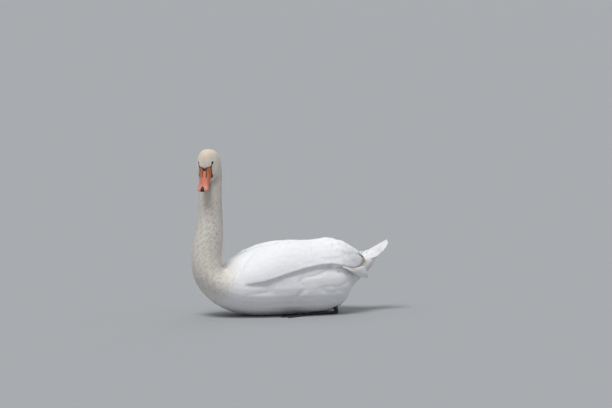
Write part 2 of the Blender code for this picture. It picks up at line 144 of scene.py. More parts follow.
def length_size(name, description, default):
    """A size in metres that the panel shows."""
    return FloatProperty(name=name, description=description, default=default, min=0, unit="LENGTH")


def paint(name, description, code):
    """A colour that the panel shows."""
    return FloatVectorProperty(
        name=name, description=description, default=linear(code), subtype="COLOR", size=3, min=0, max=1
    )


class SwanSizes(bpy.types.PropertyGroup):
    """The sizes of the coat and the fine parts."""

    form_grain: length_size("Form grain", "Mesh size of the form that the coat lies on", 0.0026)
    head_coat: length_size("Head coat", "Depth of the feathers on the head", 0.0015)
    neck_coat: length_size("Neck coat", "Depth of the feathers on the neck", 0.0035)
    body_coat: length_size("Body coat", "Depth of the feathers on the body", 0.0065)
    eye_radius: length_size("Eye radius", "Radius of an eyeball", 0.0060)
    tail_length: length_size("Tail length", "From the tail's root to its tip", 0.1733)
    tail_quills: IntProperty(name="Tail quills", description="Feathers in the tail", default=12, min=3)


class SwanColours(bpy.types.PropertyGroup):
    """The colours of the plumage, horn and skin."""

    white: paint("White", "Clean body feathers", "#f2f2f4")
    neck_white: paint("Neck white", "Worn feathers of the neck", "#e8e2d9")
    buff: paint("Buff", "Stain on the crown and nape", "#dfcdb8")
    soot: paint("Soot", "Grey brown flecks", "#9b9389")
    ochre: paint("Ochre", "Rusty stain under the wings and tail", "#b99560")
    coral: paint("Coral", "Middle of the bill", "#d67a5c")
    orange: paint("Orange", "Base of the bill", "#c9763c")
    pink: paint("Pink", "Tip of the bill", "#dd9c8c")
    black: paint("Black", "Bare skin of the face, and the nail", "#17161a")
    iris: paint("Iris", "Brown of the eye", "#2a160c")
    foot: paint("Foot", "Skin of the legs and webs", "#2e2f31")
    floor: paint("Floor", "The studio floor", "#a2a4a6")


def sizes():
    """The sizes in use."""
    return bpy.context.scene.swan_sizes


def colours():
    """The colours in use."""
    return bpy.context.scene.swan_colours


# ---------------------------------------------------------------- making objects


def deselect():
    """Nothing is selected, so that an operator acts only on what is picked next."""
    if bpy.context.object and bpy.context.object.mode != "OBJECT":
        bpy.ops.object.mode_set(mode="OBJECT")
    bpy.ops.object.select_all(action="DESELECT")


def pick(item):
    """Selects one object and makes it the active one."""
    deselect()
    item.select_set(True)
    bpy.context.view_layer.objects.active = item


def places_of(item):
    """A mesh's points as an array."""
    flat = np.empty(len(item.data.vertices) * 3)
    item.data.vertices.foreach_get("co", flat)
    return flat.reshape(-1, 3)


def move_points(item, points):
    """Puts a mesh's points at new places."""
    item.data.vertices.foreach_set("co", np.asarray(points, float).ravel())
    item.data.update()


def apply_modifier(item, kind, **settings):
    """Adds a modifier with its settings and applies it."""
    pick(item)
    step = item.modifiers.new(kind.lower(), kind)
    for name, value in settings.items():
        setattr(step, name, value)
    bpy.ops.object.modifier_apply(modifier=step.name)


def close_seams(item, distance=1e-5):
    """Merges doubled points and turns the faces outwards."""
    pick(item)
    bpy.ops.object.mode_set(mode="EDIT")
    bpy.ops.mesh.select_all(action="SELECT")
    bpy.ops.mesh.remove_doubles(threshold=distance)
    bpy.ops.mesh.normals_make_consistent(inside=False)
    bpy.ops.object.mode_set(mode="OBJECT")


def shaped_grid(name, across, along, shape):
    """A grid primitive wrapped into a closed form: shape takes the shares across and along, 0 to 1."""
    deselect()
    bpy.ops.mesh.primitive_grid_add(x_subdivisions=across, y_subdivisions=along, size=2)
    item = bpy.context.object
    item.name = item.data.name = name
    flat = places_of(item)
    move_points(item, shape((flat[:, 0] + 1) / 2, (flat[:, 1] + 1) / 2))
    close_seams(item)
    bpy.ops.object.shade_smooth()
    return item


def shaped_ball(name, segments, rings, shape):
    """A ball primitive pressed into another form: shape takes the points of a ball of radius one."""
    deselect()
    bpy.ops.mesh.primitive_uv_sphere_add(segments=segments, ring_count=rings, radius=1.0)
    item = bpy.context.object
    item.name = item.data.name = name
    move_points(item, shape(places_of(item)))
    close_seams(item, 1e-6)
    bpy.ops.object.shade_smooth()
    return item


def copy_nodes(name, nodes):
    """One object made of copies of solids, their doubled points merged."""
    parts = []
    for node in nodes:
        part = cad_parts[node].copy()
        part.data = part.data.copy()
        part.parent = None
        part.hide_viewport = part.hide_render = False
        bpy.context.scene.collection.objects.link(part)
        for key in list(part.keys()):
            del part[key]
        close_seams(part, 1e-6)
        parts.append(part)
    deselect()
    for part in parts:
        part.select_set(True)
    bpy.context.view_layer.objects.active = parts[0]
    if len(parts) > 1:
        bpy.ops.object.join()
    item = bpy.context.object
    item.name = item.data.name = name
    item.data.materials.clear()
    return item


def keep_largest(item):
    """Deletes all but the largest connected part of a mesh."""
    faces = np.array([face.vertices[:] for face in item.data.polygons])
    label = np.arange(len(item.data.vertices))
    while True:
        lowest = label[faces].min(axis=1)
        before = label.copy()
        for corner in range(faces.shape[1]):
            np.minimum.at(label, faces[:, corner], lowest)
        label = label[label]
        if (label == before).all():
            break
    names, counts = np.unique(label, return_counts=True)
    extra = label != names[counts.argmax()]
    pick(item)
    item.data.polygons.foreach_set("select", np.zeros(len(item.data.polygons), bool))
    item.data.edges.foreach_set("select", np.zeros(len(item.data.edges), bool))
    item.data.vertices.foreach_set("select", extra)
    bpy.ops.object.mode_set(mode="EDIT")
    bpy.context.tool_settings.mesh_select_mode = (True, False, False)
    bpy.ops.mesh.delete(type="VERT")
    bpy.ops.object.mode_set(mode="OBJECT")


def store(item, name, values):
    """Keeps a number, or a colour of three numbers, on each point of a mesh."""
    values = np.asarray(values, np.float32)
    if values.ndim == 1:
        item.data.attributes.new(name, "FLOAT", "POINT").data.foreach_set("value", values)
        return
    full = np.ones((len(values), 4), np.float32)
    full[:, :3] = values
    item.data.attributes.new(name, "FLOAT_COLOR", "POINT").data.foreach_set("color", full.ravel())


def finish_piece(item, material, slot, *nodes):
    """Gives a piece its material, lets it ride on the body, and hides the solids that it stands for; the
    slot is not used.
    """
    item.data.materials.clear()
    item.data.materials.append(material)
    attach(item, "root")
    if nodes:
        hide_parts(*nodes)


# ---------------------------------------------------------------- surfaces and fields


class Surface:
    """A mesh that pieces are laid on."""

    def __init__(self, item):
        mesh = item.data
        mesh.calc_loop_triangles()
        self.points = places_of(item)
        self.corners = np.array([t.vertices[:] for t in mesh.loop_triangles])
        a, b, c = (self.points[self.corners[:, k]] for k in range(3))
        cross = np.cross(b - a, c - a)
        self.areas = np.linalg.norm(cross, axis=1) / 2
        normals = np.zeros_like(self.points)
        for k in range(3):
            np.add.at(normals, self.corners[:, k], cross)
        self.normals = unit(normals)
        for _ in range(3):  # evened out, so that the coat doesn't shiver
            self.normals = unit(self.spread(self.normals))
        self.face_normals = unit(self.normals[self.corners].sum(axis=1))
        self.tree = BVHTree.FromPolygons(self.points.tolist(), self.corners.tolist())

    def spread(self, values):
        """Values on the points, each evened out with its neighbours'."""
        total, count = values.copy(), np.ones(len(values))
        for k in range(3):
            near, far = self.corners[:, k], self.corners[:, (k + 1) % 3]
            np.add.at(total, near, values[far])
            np.add.at(count, near, 1.0)
        return total / (count[:, None] if values.ndim > 1 else count)

    def nearest(self, points):
        """The nearest place on the surface to each point, and the normal there."""
        found, faces = np.empty_like(points), np.empty(len(points), int)
        look = self.tree.find_nearest
        for k, point in enumerate(points.tolist()):
            place, _, face, _ = look(point)
            found[k], faces[k] = place, face
        return found, self.face_normals[faces]

    def scatter(self, number, random):
        """Random places spread evenly over the surface, and their normals."""
        faces = random.choice(len(self.areas), number, p=self.areas / self.areas.sum())
        r = np.sqrt(random.random(number))[:, None]
        s = random.random(number)[:, None]
        a, b, c = (self.points[self.corners[faces, k]] for k in range(3))
        return a * (1 - r) + b * (r * (1 - s)) + c * (r * s), self.face_normals[faces]

    def outermost(self, start, directions):
        """Where rays from start leave the surface for good."""
        found = np.array(start + directions * 0.2)
        for k, (place, way) in enumerate(zip(found.tolist(), (-directions).tolist())):
            hit = self.tree.ray_cast(place, way)
            if hit[0] is not None:
                found[k] = hit[0]
        return found


SURFACES = {}  # the forms that the operators share


def flesh(name, nodes):
    """Some solids grown into one smooth closed mesh."""
    item = copy_nodes(name, nodes)
    apply_modifier(item, "REMESH", mode="VOXEL", voxel_size=sizes().form_grain)
    keep_largest(item)
    apply_modifier(item, "SMOOTH", factor=0.5, iterations=6)
    points = places_of(item)
    normals = np.array([point.normal[:] for point in item.data.vertices])
    move_points(item, points - normals * dents(points)[:, None])
    return item


def form():
    """The bird's outer form, bill and eyes too, as one smooth surface, made once."""
    if "form" not in SURFACES:
        item = flesh("form", FLESH + BILL_SOLIDS + ("eye_left", "eye_right"))
        SURFACES["form"] = Surface(item)
        bpy.data.objects.remove(item)
    return SURFACES["form"]


def dents(points):
    """How far the plumage sinks between its soft masses: along the flank, under the wing and the jaw."""
    x, y, z = points.T
    edge = np.interp(x, WING_EDGE_X, WING_EDGE_Z)
    flank = smooth_step(np.abs(y), 0.07, 0.11) * smooth_step(z, 0.02, 0.06)
    flank = flank * smooth_step(z - edge, 0.0, -0.012)
    flank = flank * smooth_step(x, -0.24, -0.14) * smooth_step(x, 0.26, 0.20)
    waves = ripple(points * (0.42, 0.4, 1.0) + (0, 0, -0.12) * points[:, :1], 0.036, 11)
    billow = flank * 0.0040 / (1 + ((waves * 2 - 1) / 0.35) ** 2)
    wing = smooth_step(x, -0.16, -0.02) * smooth_step(z - edge, 0.004, 0.016)
    wing = wing * smooth_step(np.abs(y), 0.02, 0.05)
    folds = ripple(points * (0.35, 0.6, 1.0) + (0, 0, 0.25) * points[:, :1], 0.040, 14)
    tress = wing * 0.0020 / (1 + ((folds * 2 - 1) / 0.35) ** 2)
    local = to_head(points)
    jaw = np.exp(-(((local[:, 2] + 55) / 6.0) ** 2)) * smooth_step(local[:, 0], 6, 30) * (z > 0.46)
    return billow + tress + 0.0026 * jaw


NECK_TURN = (-0.262, 0.190)  # x and z of the inner corner between the neck and the back
JAW_TURN = (0.058, 0.508)  # reach ahead of the neck's axis, and z, of the corner under the jaw
TAIL_RISE = math.tan(math.radians(26.4))
TAIL_ROOT = 0.226  # x where the tail's quills leave the body


def lie_of_coat(points):
    """Which way the feathers lie: back from the bill, over the head, down the neck, back to the tail."""
    x, y, z = points.T
    drop = np.maximum(NECK_TURN[1] - z, 0)
    ahead = np.maximum(NECK_TURN[0] - x, 1e-4)
    turn = np.where(x < NECK_TURN[0], np.arctan2(drop, ahead), math.pi / 2)
    rear = smooth_step(x, 0.10, 0.30)
    body = np.stack((np.sin(turn), -1.6 * y * rear, -np.cos(turn) + TAIL_RISE * rear), axis=1)
    reach = (points - NECK_AXIS) @ AHEAD - JAW_TURN[0]
    angle = np.arctan2(z - JAW_TURN[1], reach)
    head = -np.abs(np.sin(angle))[:, None] * AHEAD + np.cos(angle)[:, None] * UPWARDS
    share = smooth_step(z, 0.44, 0.50)[:, None]
    return unit(unit(body) * (1 - share) + head * share)


# Round the bill's root, by degrees from the top of the head as seen along the bill: the reach (mm) at
# which the feathers end, and at which the black skin gives way to orange
FACE_ANGLES = (0, 10, 16, 24, 31, 40, 46, 53, 60, 70, 83, 97, 111, 120, 130)
FEATHER_EDGE = (24.5, 23.4, 22.4, 21.6, 21.0, 18.6, 16.6, 15.6, 16.8, 21.0, 25.8, 31.0, 35.6, 39.0, 42.0)
ORANGE_EDGE = (33, 31.5, 29.8, 26.0, 23.4, 21.2, 19.8, 19.4, 21.4, 25.2, 29.6, 33.8, 37.8, 41.0, 43.5)
# The black spur to the eye: degrees and reach of its upper and lower borders
SPUR_UPPER = ((51.5, 3.6), (50.0, 8.0), (48.6, 12.5), (44.0, 19.5))
SPUR_LOWER = ((55.5, 3.6), (55.5, 8.0), (57.0, 13.0), (63.0, 20.5))
BILL_MIDDLE = -20.0  # height of the point that the angles are measured round
CHIN = -36.0  # height under which the face has feathers all over


def face_angle(local):
    """Degrees from the top of the head, seen along the bill."""
    return np.degrees(np.arctan2(np.abs(local[:, 1]), local[:, 2] - BILL_MIDDLE))


def bareness(local):
    """How far (mm) a point of the face lies ahead of the edge of the feathers."""
    angle = face_angle(local)
    spur = np.minimum(angle - np.interp(local[:, 0], *list(zip(*SPUR_UPPER))[::-1]),
                      np.interp(local[:, 0], *list(zip(*SPUR_LOWER))[::-1]) - angle)
    spur = np.where((local[:, 0] > 3.6) & (local[:, 0] < 19), spur * 0.5, -50.0)
    ahead = np.maximum(local[:, 0] - np.interp(angle, FACE_ANGLES, FEATHER_EDGE), spur)
    return np.where((local[:, 2] > CHIN) & (angle < 128), ahead, -50.0)


EYE_RING = (5.3, 4.2)  # half-length and half-height of the bare skin round an eye (mm)
EYE_DEPTH = 4.5  # from an eye's opening in to the middle of its ball (mm)
LID_HALF = (4.2, 3.6)  # half-length and half-height of the lids' ring (mm)


def eye_seat():
    """Where the left eye's opening lies on the side of the head, and its axes: ahead, over, outward."""
    if "seat" not in SURFACES:
        centre = to_head(EYES["left"][None])[0]
        turn = np.linspace(0, 2 * math.pi, 24, endpoint=False)
        ring = centre + 9.0 * np.stack((np.cos(turn), 0 * turn, np.sin(turn)), 1)
        ways = np.broadcast_to((0.0, 1.0, 0.0), ring.shape) @ HEAD_AXES
        found = to_head(form().outermost(from_head(ring), ways))
        terms = np.stack((found[:, 0] - centre[0], found[:, 2] - centre[2], np.ones(24)), 1)
        slope_x, slope_z, level = np.linalg.lstsq(terms, found[:, 1], rcond=None)[0]
        outward = unit(np.array((-slope_x, 1.0, -slope_z)))
        ahead = unit(np.cross(np.cross(outward, (1.0, 0, 0)), outward))
        place = centre + outward * ((level - centre[1]) * outward[1] + 0.4)
        SURFACES["seat"] = place, np.stack((ahead, np.cross(ahead, outward), outward))
    return SURFACES["seat"]


def eye_distance(local):
    """How far a point is from the middle of an eye's opening, counted in the opening's own size."""
    place, axes = eye_seat()
    ahead, over, out = ((local * (1, 0, 1) + np.abs(local) * (0, 1, 0) - place) @ axes.T).T
    far = np.where(np.abs(out) > 7, 9.0, 0.0)  # the other side of the head doesn't count
    return np.sqrt((ahead / EYE_RING[0]) ** 2 + (over / EYE_RING[1]) ** 2) + far


def ripple(points, size, seed):
    """A smooth random value from 0 to 1, that changes over about this distance."""
    random = np.random.default_rng(seed)
    total = np.zeros(len(points))
    for _ in range(7):
        wave = random.normal(size=3) * 2.2 / size
        total += np.sin(points @ wave + random.uniform(0, 2 * math.pi))
    return 0.5 + 0.5 * np.tanh(total / 2.6)


# The lower edge of the folded wings: x, and z
WING_EDGE_X = (-0.26, -0.22, -0.165, -0.11, -0.05, 0.01, 0.06, 0.105, 0.15, 0.20, 0.236, 0.275)
WING_EDGE_Z = (0.131, 0.127, 0.134, 0.149, 0.167, 0.181, 0.188, 0.190, 0.181, 0.168, 0.172, 0.190)


def markings(points):
    """Buff, soot, ochre and neck shares of the plumage's colour at each point."""
    local = to_head(points)
    x, y, z = points.T
    on_head = smooth_step(z, 0.50, 0.535)
    crown = smooth_step(local[:, 2], 0, 24) * smooth_step(local[:, 0], 26, 6)
    nape = smooth_step(local[:, 0], -12, -38)
    buff = on_head * np.clip(0.85 * crown + 0.5 * nape + 0.12, 0, 1)
    buff = buff * (0.7 + 0.4 * ripple(points, 0.030, 3))
    buff = np.maximum(buff, 0.22 * smooth_step(z, 0.33, 0.50) * (0.5 + ripple(points, 0.030, 4)))
    neck = smooth_step(x - 0.35 * np.minimum(z - 0.16, 0.10), -0.22, -0.30) * smooth_step(z, -0.01, 0.15)
    fleck = smooth_step(ripple(points * (1, 1, 2.2), 0.0075, 5), 0.2, 0.9)
    grey = np.interp(z, (0.02, 0.30, 0.42, 0.50, 0.56), (0.75, 1.1, 0.95, 0.62, 0.20))
    soot = neck * grey * (0.17 + 0.20 * fleck)
    # The quills and the under-tail feathers are stained where they meet
    aside = smooth_step(np.abs(y), 0.012, 0.030)
    spot = np.exp(-(((x - 0.268) / 0.015) ** 2) - ((z - 0.184) / 0.009) ** 2)
    band = np.exp(-(((x - 0.190) / 0.022) ** 2) - ((z - 0.171 + 0.3 * (x - 0.190)) / 0.006) ** 2)
    below = smooth_step(x, 0.20, 0.27) * smooth_step(z - TAIL_RISE * (x - TAIL_ROOT), 0.186, 0.170)
    ochre = aside * np.clip(0.85 * spot + 0.55 * band, 0, 1)
    ochre = np.clip(ochre + 0.22 * below * smooth_step(ripple(points, 0.024, 9), 0.4, 0.9), 0, 1)
    return np.stack((np.clip(buff, 0, 1), np.clip(soot, 0, 1), ochre), axis=1), neck


# ---------------------------------------------------------------- materials


def add_node(tree, kind, settings):
    """Adds a node: a socket among the settings is linked, any other value is set by its name or place."""
    node = tree.nodes.new(kind)
    for key, value in settings.items():
        if isinstance(value, bpy.types.NodeSocket):
            tree.links.new(value, node.inputs[key])
        elif isinstance(key, int) or key in node.inputs:
            colour = node.inputs[key].type == "RGBA" and len(value) == 3
            node.inputs[key].default_value = (*value, 1.0) if colour else value
        else:
            setattr(node, key, value)
    return node


def new_material(name, shader_settings):
    """A material, its node tree and its shader."""
    material = bpy.data.materials.new(name)
    material.use_nodes = True
    tree = material.node_tree
    tree.nodes.clear()
    shader = add_node(tree, "ShaderNodeBsdfPrincipled", shader_settings)
    add_node(tree, "ShaderNodeOutputMaterial", {"Surface": shader.outputs["BSDF"]})
    return material, tree, shader


def plumage_colour(tree, white):
    """White or neck white, stained by the markings that the mesh keeps."""
    palette = colours()
    marks = add_node(tree, "ShaderNodeAttribute", {"attribute_name": "marks"}).outputs["Color"]
    shares = add_node(tree, "ShaderNodeSeparateColor", {"Color": marks}).outputs
    neck = add_node(tree, "ShaderNodeAttribute", {"attribute_name": "neck"}).outputs["Fac"]
    colour = white
    stains = (palette.neck_white, palette.buff, palette.soot, palette.ochre)
    for share, stain in zip((neck, *shares[:3]), stains):
        mix = {"data_type": "RGBA", 0: share, 6: colour, 7: stain}
        colour = add_node(tree, "ShaderNodeMix", mix).outputs[2]
    return colour


def feather_material():
    """Keratin vane: matt with a faint silky sheen, fine barbs slanting from a creamier, raised quill."""
    if "feather_keratin" in bpy.data.materials:
        return bpy.data.materials["feather_keratin"]
    material, tree, shader = new_material(
        "feather_keratin",
        {"Roughness": 0.62, "Sheen Weight": 0.12, "Sheen Roughness": 0.5, "Specular IOR Level": 0.35},
    )
    place = add_node(tree, "ShaderNodeUVMap", {"uv_map": "vane"}).outputs[0]
    place = add_node(tree, "ShaderNodeSeparateXYZ", {0: place}).outputs
    aside = add_node(tree, "ShaderNodeMath", {"operation": "SUBTRACT", 0: place[0], 1: 0.5}).outputs[0]
    aside = add_node(tree, "ShaderNodeMath", {"operation": "ABSOLUTE", 0: aside}).outputs[0]
    # Real barbs are 0.3 mm apart; here about 24 to a vane, so that they show
    turns = 2 * math.pi * 24
    along = add_node(tree, "ShaderNodeMath", {"operation": "MULTIPLY", 0: place[1], 1: turns}).outputs[0]
    slant = {"operation": "MULTIPLY_ADD", 0: aside, 1: -0.67 * turns, 2: along}
    slant = add_node(tree, "ShaderNodeMath", slant).outputs[0]
    barbs = add_node(tree, "ShaderNodeMath", {"operation": "SINE", 0: slant}).outputs[0]
    quill = {0: aside, "From Min": 0.0, "From Max": 0.05, "To Min": 1.0, "To Max": 0.0}
    quill = add_node(tree, "ShaderNodeMapRange", quill).outputs[0]
    # The tone is each vane's own whiteness times painted shade: darker at its root, and over the tail's
    # quills.
    tone_and_painted_shade = add_node(tree, "ShaderNodeAttribute", {"attribute_name": "tone_and_painted_shade"}).outputs["Fac"]
    shade = {"operation": "MULTIPLY_ADD", 0: barbs, 1: 0.008, 2: tone_and_painted_shade}
    shade = add_node(tree, "ShaderNodeMath", shade).outputs[0]
    faint = add_node(tree, "ShaderNodeMath", {"operation": "MULTIPLY", 0: quill, 1: 0.15}).outputs[0]
    colour = plumage_colour(tree, colours().white)
    colour = {"data_type": "RGBA", 0: faint, 6: colour, 7: linear("#e9e4d8")}
    colour = add_node(tree, "ShaderNodeMix", colour).outputs[2]
    colour = add_node(tree, "ShaderNodeHueSaturation", {"Value": shade, "Color": colour}).outputs[0]
    tree.links.new(colour, shader.inputs["Base Color"])
    height = {"operation": "MULTIPLY_ADD", 0: quill, 1: 2.0, 2: barbs}
    height = add_node(tree, "ShaderNodeMath", height).outputs[0]
    bump = add_node(tree, "ShaderNodeBump", {"Strength": 0.15, "Distance": 0.0002, "Height": height})
    tree.links.new(bump.outputs[0], shader.inputs["Normal"])
    return material


def down_material():
    """Skin under down: white and woolly, black and finely pebbled where it is bare on the face."""
    material, tree, shader = new_material("swan_down_and_skin", {"Roughness": 0.8, "Sheen Weight": 0.2})
    place = add_node(tree, "ShaderNodeTexCoord", {}).outputs["Object"]
    fluff = {"Vector": place, "Scale": 260.0, "Detail": 6.0, "Roughness": 0.65}
    fluff = add_node(tree, "ShaderNodeTexNoise", fluff).outputs[0]
    pebble = add_node(tree, "ShaderNodeTexVoronoi", {"Vector": place, "Scale": 1600.0}).outputs["Distance"]
    bare = add_node(tree, "ShaderNodeAttribute", {"attribute_name": "bare"}).outputs["Fac"]
    down = {"data_type": "RGBA", 0: fluff, 6: linear("#e2dfd9"), 7: plumage_colour(tree, colours().white)}
    down = add_node(tree, "ShaderNodeMix", down).outputs[2]
    colour = {"data_type": "RGBA", 0: bare, 6: down, 7: colours().black}
    tree.links.new(add_node(tree, "ShaderNodeMix", colour).outputs[2], shader.inputs["Base Color"])
    height = {"data_type": "FLOAT", 0: bare, 2: fluff, 3: pebble}
    height = add_node(tree, "ShaderNodeMix", height).outputs[0]
    bump = add_node(tree, "ShaderNodeBump", {"Strength": 0.5, "Distance": 0.0010, "Height": height})
    tree.links.new(bump.outputs[0], shader.inputs["Normal"])
    return material


def black_skin_material():
    """Bare facial skin: black, leathery, with pebbles half a millimetre across."""
    if "bare_black_skin" in bpy.data.materials:
        return bpy.data.materials["bare_black_skin"]
    leather = {"Roughness": 0.5, "Specular IOR Level": 0.4}
    material, tree, shader = new_material("bare_black_skin", leather)
    place = add_node(tree, "ShaderNodeTexCoord", {}).outputs["Object"]
    pebble = add_node(tree, "ShaderNodeTexVoronoi", {"Vector": place, "Scale": 1500.0}).outputs["Distance"]
    cloud = add_node(tree, "ShaderNodeTexNoise", {"Vector": place, "Scale": 220.0, "Detail": 4.0}).outputs[0]
    colour = {"data_type": "RGBA", 0: cloud, 6: colours().black, 7: linear("#26252a")}
    tree.links.new(add_node(tree, "ShaderNodeMix", colour).outputs[2], shader.inputs["Base Color"])
    bump = add_node(tree, "ShaderNodeBump", {"Strength": 0.35, "Distance": 0.0004, "Height": pebble})
    tree.links.new(bump.outputs[0], shader.inputs["Normal"])
    return material


def horn_material():
    """Bill horn: waxy coral over pale bone, satin, with fine growth lines and worn black edges."""
    horn = {"Roughness": 0.42, "Specular IOR Level": 0.5, "Coat Weight": 0.08}
    material, tree, shader = new_material("bill_horn_coral", horn)
    palette = colours()
    place = add_node(tree, "ShaderNodeTexCoord", {}).outputs["Object"]
    cloud = {"Vector": place, "Scale": 90.0, "Detail": 5.0, "Roughness": 0.6}
    cloud = add_node(tree, "ShaderNodeTexNoise", cloud).outputs[0]
    fine = add_node(tree, "ShaderNodeTexNoise", {"Vector": place, "Scale": 700.0, "Detail": 3.0}).outputs[0]
    blotch = add_node(tree, "ShaderNodeMath", {"operation": "MULTIPLY", 0: cloud, 1: 0.35}).outputs[0]
    front, tip, black = (
        add_node(tree, "ShaderNodeAttribute", {"attribute_name": name}).outputs["Fac"]
        for name in ("front", "tip", "black")
    )
    hue = palette.orange
    layers = (palette.coral, palette.pink, linear("#b9583b"), palette.black)
    for share, colour in zip((front, tip, blotch, black), layers):
        mix = {"data_type": "RGBA", 0: share, 6: hue, 7: colour}
        hue = add_node(tree, "ShaderNodeMix", mix).outputs[2]
    tree.links.new(hue, shader.inputs["Base Color"])
    bump = add_node(tree, "ShaderNodeBump", {"Strength": 0.2, "Distance": 0.0005, "Height": fine})
    tree.links.new(bump.outputs[0], shader.inputs["Normal"])
    return material


def eye_material():
    """A wet eye: nearly black brown under a clear, mirror-smooth cornea."""
    wet = {"Roughness": 0.12, "Coat Weight": 0.6, "Coat Roughness": 0.02, "Specular IOR Level": 0.3}
    material, tree, shader = new_material("wet_eye", wet)
    place = add_node(tree, "ShaderNodeTexCoord", {}).outputs["Object"]
    fleck = {"Vector": place, "Scale": 1800.0, "Detail": 3.0}
    fleck = add_node(tree, "ShaderNodeTexNoise", fleck).outputs[0]
    pupil = add_node(tree, "ShaderNodeAttribute", {"attribute_name": "pupil"}).outputs["Fac"]
    brown = {"data_type": "RGBA", 0: fleck, 6: colours().iris, 7: linear("#150a06")}
    brown = add_node(tree, "ShaderNodeMix", brown).outputs[2]
    brown = {"data_type": "RGBA", 0: pupil, 6: brown, 7: linear("#040304")}
    tree.links.new(add_node(tree, "ShaderNodeMix", brown).outputs[2], shader.inputs["Base Color"])
    return material


def foot_material():
    """Webbed foot: dark grey leather with scutes two millimetres across."""
    material, tree, shader = new_material("webbed_leather", {"Roughness": 0.55})
    place = add_node(tree, "ShaderNodeTexCoord", {}).outputs["Object"]
    scutes = {"feature": "DISTANCE_TO_EDGE", "Vector": place, "Scale": 480.0}
    scutes = add_node(tree, "ShaderNodeTexVoronoi", scutes).outputs["Distance"]
    cloud = add_node(tree, "ShaderNodeTexNoise", {"Vector": place, "Scale": 60.0, "Detail": 5.0}).outputs[0]
    colour = {"data_type": "RGBA", 0: cloud, 6: colours().foot, 7: linear("#1d1e20")}
    tree.links.new(add_node(tree, "ShaderNodeMix", colour).outputs[2], shader.inputs["Base Color"])
    bump = add_node(tree, "ShaderNodeBump", {"Strength": 0.6, "Distance": 0.0008, "Height": scutes})
    tree.links.new(bump.outputs[0], shader.inputs["Normal"])
    return material


def floor_material():
    """Matt studio floor, very faintly mottled."""
    material, tree, shader = new_material("studio_floor", {"Roughness": 0.9, "Specular IOR Level": 0.1})
    place = add_node(tree, "ShaderNodeTexCoord", {}).outputs["Object"]
    cloud = add_node(tree, "ShaderNodeTexNoise", {"Vector": place, "Scale": 3.0, "Detail": 4.0}).outputs[0]
    share = add_node(tree, "ShaderNodeMath", {"operation": "MULTIPLY", 0: cloud, 1: 0.08}).outputs[0]
    colour = {"data_type": "RGBA", 0: share, 6: colours().floor, 7: linear("#8f9194")}
    tree.links.new(add_node(tree, "ShaderNodeMix", colour).outputs[2], shader.inputs["Base Color"])
    return material


# ---------------------------------------------------------------- vanes


def vane_template(rows, columns):
    """One feather's vane, modelled as a closed lens: shares across and along, and which side."""
    deselect()
    bpy.ops.mesh.primitive_grid_add(x_subdivisions=columns, y_subdivisions=rows, size=2)
    item = bpy.context.object
    bpy.ops.object.mode_set(mode="EDIT")
    bpy.ops.mesh.select_all(action="SELECT")
    bpy.ops.mesh.duplicate()
    bpy.ops.mesh.flip_normals()
    bpy.ops.transform.translate(value=(0, 0, -1))
    bpy.ops.object.mode_set(mode="OBJECT")
    flat = places_of(item)
    rim = np.maximum(np.abs(flat[:, 0]), np.abs(flat[:, 1])) > 0.999
    flat[rim, 2] = 0.0
    move_points(item, flat)
    bpy.ops.object.mode_set(mode="EDIT")
    bpy.ops.mesh.select_all(action="SELECT")
    bpy.ops.mesh.remove_doubles(threshold=1e-4)
    bpy.ops.object.mode_set(mode="OBJECT")
    flat = places_of(item)
    quads = np.array([face.vertices[:] for face in item.data.polygons])
    bpy.data.objects.remove(item)
    under = flat[:, 2] < -0.5
    along = np.round(((flat[:, 1] + 1) / 2) ** 0.8, 6)  # closer rows towards the tip
    return {
        "across": flat[:, 0], "along": along, "under": under, "quads": quads,
        "below": under[quads].any(axis=1),
    }


def spaced(points, gaps, random):
    """Which of the points to keep, so that no two are closer than their gap."""
    tree = KDTree(len(points))
    rows = points.tolist()
    for k, point in enumerate(rows):
        tree.insert(point, k)
    tree.balance()
    state = np.zeros(len(points), np.int8)
    for k in random.permutation(len(points)).tolist():
        if state[k] == 0:
            for _, other, _ in tree.find_range(rows[k], gaps[k]):
                state[other] = 2
            state[k] = 1
    return np.nonzero(state == 1)[0]


def outline(along, point, blunt=0.20):
    """A vane's half-width along its length, as a share of the widest; point is how pointed its tip is."""
    rise = np.minimum(1.0, 0.45 + 1.4 * along)
    fall = np.sqrt(np.clip(1 - np.clip((along - 0.55) / 0.46, 0, 1) ** (2.2 - point), 0, 1))
    return rise * np.maximum(fall, blunt)


